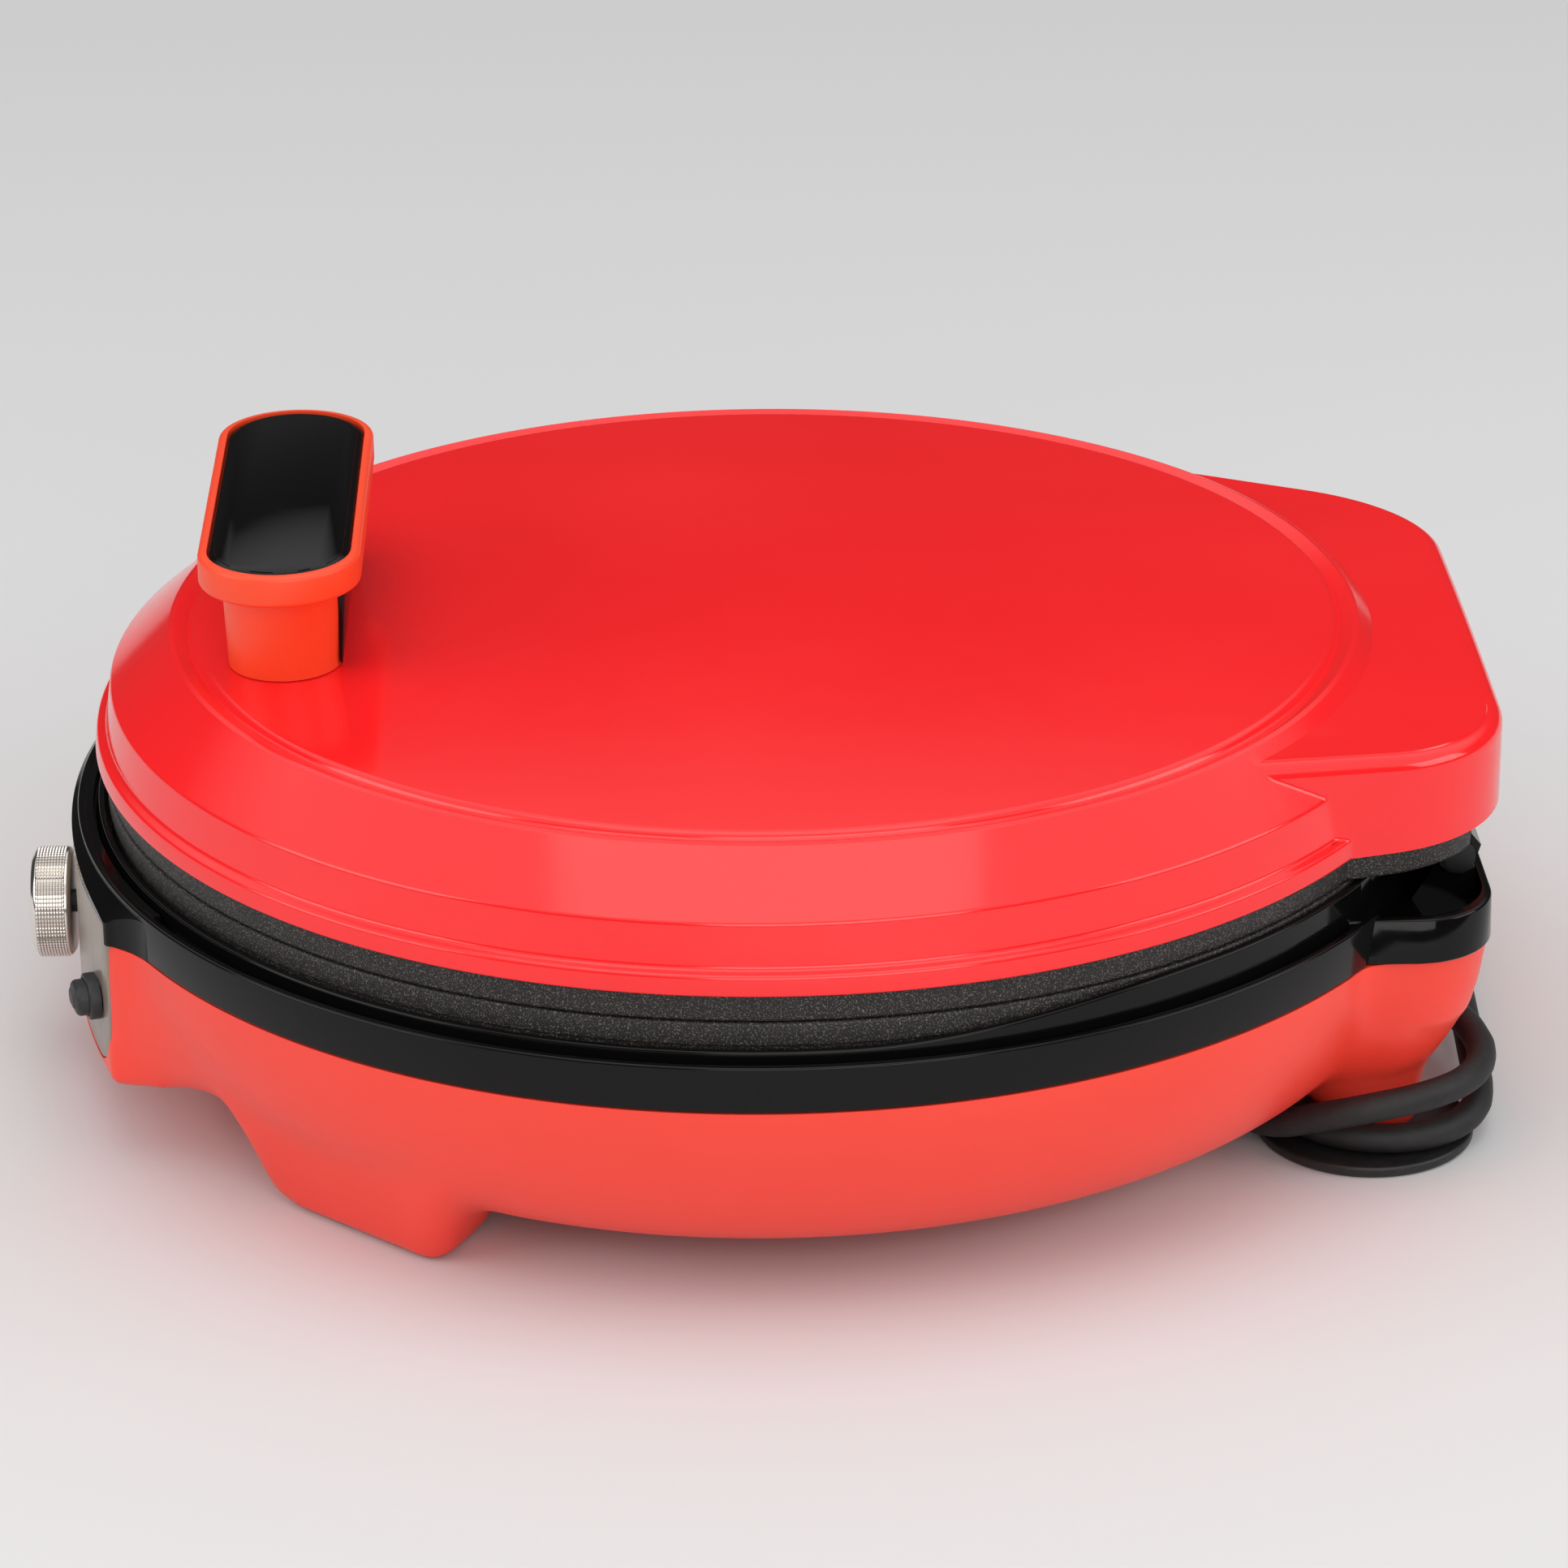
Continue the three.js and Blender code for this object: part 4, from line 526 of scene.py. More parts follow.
# Painted shade: a dark steel that stands in for the shade under the lid's rear ear on the hinge
# brackets; also used for the thermostat shaft and hinge pins.
DARK_STEEL_PAINTED_SHADE = metal("dark_steel_painted_shade", linear(62, 62, 64), 0.36)
BRASS = metal("brass", linear(205, 170, 90), 0.25)
RUBBER = matt("black_rubber", linear(24, 24, 25), linear(34, 34, 35), 0.62, 0.4)
BUTTON_RUBBER = matt("button_rubber", linear(33, 33, 35), linear(44, 44, 46), 0.5, 0.25, 0.02)
DARK_PLASTIC = matt("matt_black_plastic", linear(26, 26, 27), linear(36, 36, 37), 0.45, 0.35)
CERAMIC = matt("white_ceramic", linear(222, 217, 205), linear(236, 232, 222), 0.6, 0.6)


# Mains lead: the same route as the model's, wound twice round the rear posts

ROUTE = [
    (-10, 168, 16), (-2, 168, 16), (10, 168.9, 16), (22, 171.6, 16.2), (34, 175.2, 16.8),
    (48, 178.8, 18), (58, 180, 18.8), (66, 180.2, 19.3), (77.9, 177.8, 19.9), (88.1, 171.1, 20.2),
    (94.8, 160.9, 20), (97.2, 149, 18.6), (94.8, 137.1, 15.2), (88.1, 126.9, 10.4),
    (77.9, 120.2, 7.2), (66, 117.8, 5.4), (52, 117.4, 4.5), (34, 117.3, 4.2), (12, 117.3, 4.2),
    (-12, 117.3, 4.2), (-34, 117.3, 4.2), (-53, 117.4, 4.6), (-69, 117.8, 5.6),
    (-81.7, 120.3, 7.6), (-92.4, 127.5, 11.8), (-99.6, 138.2, 15.6), (-102.1, 150.9, 16.4),
    (-99.6, 163.6, 15.8), (-92.4, 174.3, 14.6), (-81.7, 181.5, 13.2), (-69, 184, 12.1),
    (-54, 184, 11.4), (-34, 183.7, 11), (-12, 183.3, 10.4), (10, 182.7, 9.8), (30, 181.8, 9.4),
    (50, 180.8, 9.2), (66, 180, 9), (75.8, 178, 8.2), (84.2, 172.5, 7.5), (89.7, 164.1, 7.2),
    (91.7, 154.3, 7.2), (89.7, 144.5, 7.2), (84.2, 136.1, 7.2), (75.8, 130.6, 7.2),
    (66, 128.6, 7.2), (53, 128.6, 6.8), (38, 128.8, 5.5), (18, 129.2, 4.4), (-6, 129.6, 4.3),
    (-28, 129.8, 4.9), (-46, 129.8, 6.6), (-57, 129.8, 7.2), (-66.7, 130, 7.2),
    (-73.4, 130.6, 7.2), (-80.4, 132.8, 7.2), (-86.3, 136, 7.1), (-94, 141.2, 7.1),
    (-101.4, 146.2, 7.1), (-106.6, 149.1, 7.9), (-113.3, 151.3, 9.6), (-120.4, 152, 11.1),
    (-128, 152, 11.3),
]
CORD_THICKNESS = 7.5


def lead():
    """A tube along a smooth curve through the route's points."""
    points = [Vector((x, y, z)) for x, y, z in ROUTE]
    ends = [points[0] * 2 - points[1]] + points + [points[-1] * 2 - points[-2]]
    path = []
    between_points = 5
    for p0, p1, p2, p3 in zip(ends, ends[1:], ends[2:], ends[3:]):
        t1 = (p1 - p0).length ** 0.5
        t2 = t1 + (p2 - p1).length ** 0.5
        t3 = t2 + (p3 - p2).length ** 0.5
        for k in range(between_points):
            t = t1 + (t2 - t1) * k / between_points
            a1 = p0 * ((t1 - t) / t1) + p1 * (t / t1)
            a2 = p1 * ((t2 - t) / (t2 - t1)) + p2 * ((t - t1) / (t2 - t1))
            a3 = p2 * ((t3 - t) / (t3 - t2)) + p3 * ((t - t2) / (t3 - t2))
            b1 = a1 * ((t2 - t) / t2) + a2 * (t / t2)
            b2 = a2 * ((t3 - t) / (t3 - t1)) + a3 * ((t - t1) / (t3 - t1))
            path.append(b1 * ((t2 - t) / (t2 - t1)) + b2 * ((t - t1) / (t2 - t1)))
    path.append(points[-1])
    data = bpy.data.curves.new("power_lead", "CURVE")
    data.dimensions, data.bevel_depth, data.bevel_resolution = "3D", CORD_THICKNESS / 2 * MM, 7
    data.use_fill_caps = True
    spline = data.splines.new("POLY")
    spline.points.add(len(path) - 1)
    for knot, point in zip(spline.points, path):
        knot.co = (point.x * MM, (point.y + MIDDLE) * MM, point.z * MM, 1)
    spline.use_smooth = True
    piece = bpy.data.objects.new("power_lead", data)
    bpy.context.scene.collection.objects.link(piece)
    data.materials.append(RUBBER)
    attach(piece, "base")
    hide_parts("power_cord")
    return piece


POWER_LEAD = lead()


# Lid

def lid_cover():
    """The disc with its groove, the flange, the wall and the lip, and the rear housing."""
    profile = [
        (0, LID_TOP), (146.6, LID_TOP, 2.0), (147.2, 116.6, 0.25), (147.7, 116.2, 0.25),
        (148.4, 116.5, 0.2), (151.3, 117.5, 0.6), (152.6, 117.1, 0.8), (168.1, WALL_TOP + 0.2, 1.6),
        (169.5, LIP_TOP + 0.4, 1.4), (172.0, LIP_TOP - 0.4, 1.1), (172.6, LID_LOW, 0.5),
        (171.6, LID_LOW), (0, LID_LOW),
    ]
    shell = turned("lid_cover", profile, 240)
    rear = raised("lid_rear", housing_outline(0, 96), LID_LOW,
                  [(23.6, 0)] + quarter(3.4, 7) + [(0, 0.45), (0.3, 0.25)])
    crowned(rear)
    carved(rear, cylinder("lid_bore", 155.6, 80, 125, 240))
    return joined(shell, rear)


def crowned(piece):
    """Arches the top from side to side and lets it fall off towards the rear."""
    half, apart = 96, 8
    lift, fall, front, drop, far = 2.6, 0.088, 118, 2.3, 98
    sliced(piece, [-half + apart * k for k in range(1, 2 * half // apart)])
    for vertex in piece.data.vertices:
        if vertex.co.z > LID_LOW + 12:
            vertex.co.z += (lift - fall * (vertex.co.y - front)
                            - drop * (vertex.co.x / far) ** 2)


def softened(piece):
    """Rounds the inner corners where the housing's sides meet the flange, wall and lip."""
    highest, hollow_enough = 117, -0.35
    alone(piece)
    bpy.ops.object.mode_set(mode="EDIT")
    bpy.ops.mesh.select_mode(type="EDGE")
    bpy.ops.mesh.select_all(action="DESELECT")
    net, taper = bmesh.from_edit_mesh(piece.data), math.radians(HOUSING_TAPER)
    for edge in net.edges:
        place = (edge.verts[0].co + edge.verts[1].co) / 2
        side = (HOUSING_X + HOUSING_CORNER * math.cos(taper)
                + math.tan(taper) * (HOUSING_Y + HOUSING_CORNER * math.sin(taper) - place.y))
        beside = place.y > 90 and abs(abs(place.x) - side) < 0.4
        in_sight = LID_LOW + 1 < place.z < highest
        if beside and in_sight and edge.calc_face_angle_signed(0) < hollow_enough:
            edge.select_set(True)
    bmesh.update_edit_mesh(piece.data)
    bpy.ops.mesh.bevel(offset=0.8, segments=3, affect="EDGES", clamp_overlap=False)
    bpy.ops.object.mode_set(mode="OBJECT")
    return piece


LID = softened(lid_cover())
rounded_edges(LID, 0.5, 40, 2)


def rear_band():
    """The shallow raised field on the rear wall of the lid."""
    piece = pen("lid_rear_band", [Vector((p.x, 180.6, p.y + 96.6)) for p in
                                  rounded_rectangle(107, 18.0, 3, 6)])
    bpy.ops.mesh.edge_face_add()
    bpy.ops.mesh.extrude_region_move(TRANSFORM_OT_translate={"value": (0, 3.2, 0)})
    tidied(piece)
    return rounded_edges(piece, 0.6, 40, 3)


settle(LID, "lid", LID_RED, "lid_red", "lid_shell", smooth=30)
settle(rear_band(), "lid", LID_RED, "lid_red")


# Handle: bar on a tapered stem, black insert in a recess, black cover behind

def handle_bar():
    """The bar with its recess and the stem below, flat behind for the cover."""
    bar = moved(pill(*HANDLE_BAR), 0, HANDLE_Y)
    cap = raised("handle_bar", bar, HANDLE_TOP - 4,
                 [(2.6, 0)] + quarter(1.4, 5) + [(0, 1.0)])
    low = raised("handle_low", bar, HANDLE_TOP - 3.9,
                 [(-3.0, 0)] + quarter(1.3, 5, -1) + [(0, 2)])
    recess = raised("handle_recess", moved(pill(*HANDLE_RECESS), 0, HANDLE_Y), HANDLE_TOP - 3,
                    [(6, 0)])
    stem = raised("handle_stem", moved(pill(*HANDLE_STEM), 0, HANDLE_Y), HANDLE_TOP - 7, [])
    alone(stem)
    bpy.ops.object.mode_set(mode="EDIT")
    bpy.ops.mesh.select_all(action="SELECT")
    bpy.ops.mesh.extrude_region_move(
        TRANSFORM_OT_translate={"value": (0, 0, LID_TOP + 0.3 - HANDLE_TOP + 7)})
    bpy.ops.transform.resize(value=(0.962, 0.935, 1), center_override=(0, HANDLE_Y, 0))
    tidied(stem)
    behind = raised("handle_behind", moved(rounded_rectangle(160, 34, 1, 2), 0, HANDLE_Y + 31.0),
                    LID_TOP - 2, [(26.7, 0)])
    carved(stem, behind)
    joined(cap, low, stem)
    carved(cap, recess)
    return rounded_edges(cap, 0.5, 50, 2)


settle(handle_bar(), "lid", HANDLE_RED, "handle_red", "handle_grip", smooth=35)


def handle_insert():
    """A black plate with a slightly raised face, in the bar's recess."""
    return raised("handle_insert_plate", moved(pill(119.4, 34.9, 32), 0, HANDLE_Y),
                  HANDLE_TOP - 2.4,
                  [(1.3, 0)] + quarter(0.5, 3) + [(0.35, 1.0)] + quarter(0.25, 2))


settle(handle_insert(), "lid", INSERT_BLACK, "gloss_black", "handle_insert", smooth=28)


def handle_cover():
    """A plate behind the stem whose outer face draws in towards the bottom."""
    high, middle, draws_in = 23.6, 130.5, 1.4
    piece = pen("handle_back_cover", [Vector((p.x, HANDLE_Y + 14.1, p.y + middle)) for p in
                                      rounded_rectangle(80, high, 2, 6)])
    bpy.ops.mesh.edge_face_add()
    bpy.ops.mesh.extrude_region_move(TRANSFORM_OT_translate={"value": (0, 1.9, 0)})
    tidied(piece)
    for vertex in piece.data.vertices:
        if vertex.co.y > HANDLE_Y + 15:
            vertex.co.y -= draws_in * (middle + high / 2 - vertex.co.z) / high
    return rounded_edges(piece, 0.5, 50, 2)


settle(handle_cover(), "lid", BLACK, "gloss_black", "handle_rear_cover")


# Base: bowl, rear shoulder, control box, feet and posts in one moulding

SPARE = 4


def bent_plate(name, outline, half, front, back):
    """An upright plate on the outline, bent to the front of the box."""
    strips = 40
    piece = pen(name, [Vector((p.x, front, p.y)) for p in outline])
    bpy.ops.mesh.edge_face_add()
    bpy.ops.mesh.extrude_region_move(TRANSFORM_OT_translate={"value": (0, back - front, 0)})
    tidied(piece)
    sliced(piece, [-half + 2 * half * k / strips for k in range(1, strips)])
    for vertex in piece.data.vertices:
        vertex.co.y += bulge(vertex.co.x)
    return tidied(piece)


def base_moulding():
    """Its forms stand SPARE above the rim until they are one skin, which is then cut flat."""
    steps = 32
    profile = [(0, BOWL_LOW)]
    for k in range(steps + 1):
        a = math.pi / 2 * (1 - k / steps)
        profile.append((BOWL_FLAT + BOWL_FLARE * math.cos(a), BOWL_TOP - BOWL_DEEP * math.sin(a)))
    profile += [(BOWL_FLAT + BOWL_FLARE, BOWL_TOP + SPARE), (0, BOWL_TOP + SPARE)]
    base = turned("base_moulding", profile, 240)
    shares = [(1, 0), (0.68, 0.1), (0.49, 0.2), (0.34, 0.4), (0.19, 0.59), (0.06, 0.78), (0, 1)]
    deep, draws_in = 37, 18
    moves = [(-SPARE, 0)] + [(deep * (b[0] - a[0]), draws_in * (b[1] - a[1]))
                             for a, b in zip(shares, shares[1:])]
    shoulder = raised("base_shoulder", rear_outline(101.7, 178.1, 22.0, 110),
                      BOWL_TOP + SPARE, moves)
    joined(base, shoulder, control_box(), front_foot(1), front_foot(-1),
           post_bulge(1), post_bulge(-1))
    for side in (1, -1):
        post = cylinder("base_post", POST_RADIUS, 3.3, 40, 64)
        post.data.transform(Matrix.Translation((side * POST_X, POST_Y, 0)))
        joined(base, post)
    joined(base, raised("lead_boss", moved(rounded_rectangle(14, 18, 2.5, 4), -41, 168),
                        8.5, [(24, 0)]))
    modified(base, "REMESH", mode="VOXEL", voxel_size=1.35, adaptivity=0.0)
    flowing(base)
    for cutter in (rim_above(), panel_pocket()):
        carved(base, cutter)
    return base


def flowing(piece):
    """Softens the inner corners, where the real moulding flows from form to form."""
    alone(piece)
    bpy.ops.object.mode_set(mode="EDIT")
    bpy.ops.mesh.select_mode(type="VERT")
    bpy.ops.mesh.select_all(action="SELECT")
    bpy.ops.mesh.vertices_smooth(factor=0.3, repeat=1)
    bpy.ops.mesh.select_all(action="DESELECT")
    net = bmesh.from_edit_mesh(piece.data)
    hollow_enough = -0.10
    for edge in net.edges:
        place = edge.verts[0].co
        under_box = place.z < BOX_LOW + 2 and place.y < 0 and abs(place.x) < 96
        below_rim = place.z < BOWL_TOP + 2
        if edge.calc_face_angle_signed(0) < hollow_enough and below_rim and not under_box:
            edge.select_set(True)
    bmesh.update_edit_mesh(piece.data)
    for rounds in (3, 2, 1):
        for _ in range(rounds):
            bpy.ops.mesh.select_more()
        bpy.ops.mesh.vertices_smooth(factor=0.5, repeat=14)
    bpy.ops.object.mode_set(mode="OBJECT")


def rim_above():
    """What is cut off above the rim."""
    return raised("base_top_cut", rounded_rectangle(420, 420, 2, 2), BOWL_TOP - 0.05, [(20, 0)])


def panel_pocket():
    """The seat of the panel, a thin line wider than the panel."""
    half, low, r = PANEL_HALF + 0.35, PANEL_LOW - 0.35, 12.3
    return bent_plate("panel_seat", panel_outline(half, low, 80, r), half, -8, 3.3)


def panel_outline(half, low, high, r):
    """An upright plate with round corners below and square ones above."""
    return (arc(half - r, low + r, r, -90, 0, 10) + [Vector((half, high, 0))]
            + [Vector((-half, high, 0))] + arc(r - half, low + r, r, 180, 270, 10))


def post_bulge(side):
    """The shoulder's underside draws in to the post like the bottom of a bag."""
    half, deep = 29.2, 30.05
    x, y = side * POST_X, SHOULDER_FRONT + deep
    insets = [(51.7, 0.35), (46.8, 1.3), (42.5, 2.5), (38.0, 4.2), (34.5, 5.9), (30.5, 8.1),
              (27.0, 10.0), (23.6, 11.9), (19.4, 13.6), (15.5, 14.9), (13.0, 15.6)]
    rings = [(height, 1 - by / half, 1 - by / deep) for height, by in insets]
    return drawn_in("base_bulge", moved(rounded_rectangle(2 * half, 2 * deep, 26, 12), x, y),
                    58.0, rings, (x, y, 0))


def bulge(x):
    """How far forward the box's front stands at x."""
    return x * x / (2 * BOX_BULGE) - BOX_FRONT


def bowl_radius(z):
    """The bowl's radius at a height."""
    share = min(max((BOWL_TOP - z) / BOWL_DEEP, 0), 1)
    return BOWL_FLAT + BOWL_FLARE * math.sqrt(1 - share * share)


# Radius of the hollow between the box and the bowl, at each height
HOLLOWS = [(21, 60), (25, 75), (30, 95), (35, 112), (40, 110), (45, 80), (50, 45), (57, 28),
           (60, 25)]


def flank(z, inset, steps=14):
    """One side of the box in the plan: its front corner, then a hollow arc into the bowl."""
    half, r = BOX_HALF - inset, BOX_CORNER - inset * 0.4
    corner = Vector((half, bulge(half - r) + inset + r))
    wall, hollow = bowl_radius(z), between(HOLLOWS, z)
    reach = wall + hollow
    turn = math.acos((reach ** 2 + corner.length_squared - hollow ** 2)
                     / (2 * reach * corner.length))
    facing = math.atan2(corner.y, corner.x) + turn
    centre = Vector((math.cos(facing), math.sin(facing))) * reach
    start = math.degrees(math.atan2(corner.y - centre.y, corner.x - centre.x))
    path = arc(centre.x, centre.y, hollow, start, math.degrees(facing) + 180, steps)
    widest = half + max(z - BOX_LOW, 0.2) / 0.43
    path = [Vector((min(p.x, widest), p.y, 0)) for p in path]
    inner = path[-1] * ((wall - 12) / wall)
    return arc(half - r, corner.y, r, 284, 350, 6) + path + [Vector((inner.x, inner.y, 0))]


def between(pairs, at):
    """The value at a height, from a list of (height, value) that rises."""
    for (low, first), (high, last) in zip(pairs, pairs[1:]):
        if at <= high:
            return first + (last - first) * max(at - low, 0) / (high - low)
    return pairs[-1][1]


def box_outline(height, inset, parts=32):
    """The box in the plan, from the bowl on one side to the bowl on the other."""
    side, half = flank(height, inset), BOX_HALF - inset - BOX_CORNER
    xs = [half - 2 * half * k / parts for k in range(1, parts)]
    front = [Vector((x, bulge(x) + inset, 0)) for x in xs]
    return side[::-1] + front + [Vector((-p.x, p.y, 0)) for p in side]


def control_box():
    """The box from its rounded underside up, a little larger than it ends up after softening."""
    edge, grown, levels = 3.5, 0.25, 14
    rings = []
    for k in range(7):
        a = math.pi / 2 * k / 6
        rings.append((BOX_LOW + edge * (1 - math.sin(a)), edge * (1 - math.cos(a))))
    rings = rings[::-1]
    rings += [(BOX_LOW + edge + (BOWL_TOP - BOX_LOW - edge) * k / levels, 0)
              for k in range(1, levels + 1)]
    rings.append((BOWL_TOP + SPARE, 0))
    return stacked("control_box", [(height, box_outline(height, inset - grown))
                                   for height, inset in rings])


# Where a front foot starts, in degrees from the front, at each height
FOOT_STARTS = [(0, 38.4), (5, 37.8), (10, 37.3), (18, 36.7), (27, 35.4), (33, 33.6), (38, 31.8),
               (43, 29.8)]
FOOT_RINGS = [(0.8, 2.6), (1.2, 1.5), (2.0, 0.6), (3.4, 0.0), (8, 0), (13, 0), (18, 0), (23, 0),
              (28, 0), (33, 0), (38, 0), (43, 0)]


def front_foot(side):
    """A foot that carries the bowl's wall down to the table, widest where it leaves the bowl."""
    rings = []
    for height, by in FOOT_RINGS:
        outer = 160.9 + height * 0.35 if height < 36 else bowl_radius(height) - 0.6
        start = between(FOOT_STARTS, height)
        end = 58.9 + 0.13 * height + 0.02 * max(height - 18, 0) ** 1.8
        middle, inner = math.radians((start + end) / 2 - 90), 134.0
        length = math.radians(end - start) * outer
        points = []
        for p in rounded_rectangle(length - 2 * by, outer - inner - 2 * by, 5.0 - 0.6 * by, 6):
            angle, r = middle + p.x / outer, (outer + inner) / 2 - p.y
            points.append(Vector((side * r * math.cos(angle), r * math.sin(angle), 0)))
        rings.append((height, points))
    return stacked("base_foot", rings)


BASE = base_moulding()
settle(BASE, "base", BASE_RED, "base_red", "base_shell", smooth=34)


# Trim ring with its channel, rear shoulder and the visor over the panel

LIP_LOW, LIP_HIGH = 73.5, 79.4


def lip_height(angle):
    """The inner lip rises from the front to the rear, in degrees from the rear."""
    share = min(max((85 - angle) / 31, 0), 1)
    return LIP_LOW + (LIP_HIGH - LIP_LOW) * share * share * (3 - 2 * share)


def trim_ring():
    """The ring with its trough, the hollow rear shoulder and the visor."""
    bore = COATED_RADIUS + 0.8
    profile = [
        (bore - 10, 62), (bore - 10, RING_LOW), (RING_RADIUS, RING_LOW, 0.4),
        (RING_RADIUS, RING_TOP, 0.7), (175.9, RING_TOP, 0.9), (174.4, 69.0, 1.2),
        (172.9, 68.2, 0.7), (172.6, LIP_LOW, 0.7), (bore, LIP_LOW, 0.5), (bore, 64.2),
        (bore - 10, 64.2), (bore - 10, 62),
    ]
    ring = turned("trim_band", profile, 288)
    for vertex in ring.data.vertices:
        if vertex.co.z > 70 and vertex.co.xy.length < 173.5:
            angle = abs(math.degrees(math.atan2(vertex.co.x, vertex.co.y)))
            vertex.co.z += lip_height(angle) - LIP_LOW
    low_half, high_half = 102.6, 100.2
    shoulder = raised("trim_shoulder", rear_outline(low_half, SHOULDER_REAR, 20.0, 112),
                      RING_LOW, [(10.9, 0)])
    for vertex in shoulder.data.vertices:
        if vertex.co.z > 65:
            vertex.co.x *= high_half / low_half
    rounded_edges(shoulder, 0.7, 50, 3)
    hollow = raised("trim_hollow", rear_outline(98.2, 176.4, 20.0, 108), 64.2, [(20, 0)])
    carved(shoulder, hollow)
    carved(shoulder, cylinder("trim_inside", 172.2, 50, 90))
    clear = raised("trim_clear", rear_outline(98.2, 176.4, 20.0, 144.1), 64.2, [(20, 0)])
    carved(clear, cylinder("trim_keep", 172.5, 50, 90))
    carved(ring, clear)
    joined(ring, shoulder, visor())
    return rounded_edges(ring, 0.35, 45, 2)


def visor():
    """The ring's front runs out over the panel and slopes down to its top edge."""
    body = raised("trim_visor", box_outline(BOWL_TOP, -0.2), RING_LOW, [(20, 0)])
    slope = turned("trim_slope", [
        (0, 55), (199.3, 55), (RING_RADIUS - 2.2, RING_TOP), (0, RING_TOP)], 288)
    carved(body, slope, "INTERSECT")
    carved(body, cylinder("trim_inner", 174.0, 50, 90))
    return carved(body, panel_room())


def panel_room():
    """The space in front of the ring that the panel's top takes up."""
    half, parts, low = PANEL_HALF + 0.3, 32, 50
    xs = [half - 2 * half * k / parts for k in range(parts + 1)]
    outline = ([Vector((xs[-1], -200, 0)), Vector((xs[0], -200, 0))]
               + [Vector((x, bulge(x) + 3.3, 0)) for x in xs])
    return raised("trim_panel_room", outline, low, [(PANEL_HIGH + 0.3 - low, 0)])


settle(trim_ring(), "base", BLACK, "gloss_black", "trim_ring", smooth=30)


# Cooking plates with their speckled coating

def lower_cooking_plate():
    rim = SEAM - HALF_SEAM
    profile = [
        (0, 75.2), (152.0, 75.2, 1.5), (155.5, rim, 1.2), (COATED_RADIUS, rim, 0.9),
        (COATED_RADIUS, 73.8, 0.6), (169.5, 73.6), (169.5, 64.5), (166.5, 64.5),
        (166.5, 71.2, 1), (0, 71.2),
    ]
    return turned("lower_cooking_plate", profile, 240)


def upper_cooking_plate():
    """The round plate and its wing under the rear housing, notched for the hinges."""
    rim, hinge_x = SEAM + HALF_SEAM, 62
    profile = [
        (0, 84.5), (152.0, 84.5, 1.5), (155.5, rim, 1.2), (COATED_RADIUS, rim, 0.9),
        (COATED_RADIUS, 87.2, 0.3), (165.0, 87.2), (165.0, 88.5, 0.4), (0, 88.5),
    ]
    plate = turned("upper_cooking_plate", profile, 240)
    wing = raised("plate_wing", housing_outline(3.3, 118), rim + 7.1,
                  [(-6.3, 0)] + quarter(0.8, 3, -1))
    carved(wing, raised("plate_behind", moved(rounded_rectangle(240, 20, 1, 3), 0, 183.6),
                        70, [(30, 0)]))
    carved(wing, cylinder("plate_room", 169.0, 70, 100, 240))
    for side in (1, -1):
        carved(wing, raised("plate_notch", moved(
            rounded_rectangle(28.6, 20, 1, 3), side * hinge_x, 170), 70, [(30, 0)]))
    return joined(plate, wing)


settle(lower_cooking_plate(), "base", COATING, "nonstick", "lower_plate")
settle(upper_cooking_plate(), "lid", COATING, "nonstick", "upper_plate")


# Control panel, bent to the front of the box

def at_front(piece, x, z, proud, angle=0.0):
    """Turns a piece that was drawn along +Z so that it points out of the panel."""
    turn = Matrix.Rotation(angle, 4, "Z") @ Matrix.Rotation(math.pi / 2, 4, "X")
    piece.data.transform(Matrix.Translation((x, bulge(x) - proud, z)) @ turn)
    return piece


def at_button(piece):
    """Puts a piece at the button's place, square to the bent panel."""
    return at_front(piece, BUTTON_X, KNOB_Z, 0.0, math.atan(BUTTON_X / BOX_BULGE))


BUTTON_OPENING = rounded_rectangle(11.2, 8.6, 3.9)


def control_panel():
    """The panel with the opening that the button goes down into."""
    outline = panel_outline(PANEL_HALF, PANEL_LOW, PANEL_HIGH, 12.0)
    plate = bent_plate("control_fascia", outline, PANEL_HALF, 0, 3)
    well = at_button(raised("button_well", BUTTON_OPENING, -8, [(20, 0)]))
    return rounded_edges(carved(plate, well), 0.5, 50, 2)


settle(control_panel(), "base", PANEL_GREY, "panel_grey", "control_panel", smooth=30)


def knob():
    """The chrome body, without its knurling."""
    body = turned("chrome_knob", [
        (0, 0), (KNOB_RADIUS - 1.4, 0, 0.4), (KNOB_RADIUS, 0.9, 0.5), (KNOB_RADIUS, 9.2, 1.3),
        (12.8, 10.6, 1.4), (0, 10.6)], 96, 6)
    return at_front(body, KNOB_X, KNOB_Z, KNOB_STANDS_OFF)


settle(knob(), "knob", CHROME, "chrome", "knob", smooth=40)


def knurling():
    """Rows of small pyramids round the knob: a band of faces, each drawn to a point."""
    rows, around, radius, start, wide = 10, 84, 14.35, 1.5, 7.6
    band = pen("knob_knurling", [Vector((radius, 0, start + wide * k / rows))
                                 for k in range(rows + 1)])
    bpy.ops.object.mode_set(mode="OBJECT")
    modified(band, "SCREW", steps=around, render_steps=around, use_merge_vertices=True,
             merge_threshold=0.003)
    tidied(band)
    alone(band)
    bpy.ops.object.mode_set(mode="EDIT")
    bpy.ops.mesh.select_mode(type="FACE")
    bpy.ops.mesh.select_all(action="SELECT")
    bpy.ops.mesh.inset(thickness=0.08, use_individual=True)
    bpy.ops.mesh.poke(offset=0.32)
    bpy.ops.object.mode_set(mode="OBJECT")
    return at_front(band, KNOB_X, KNOB_Z, KNOB_STANDS_OFF)


KNURLING = settle(knurling(), "knob", CHROME, "chrome", smooth=20)
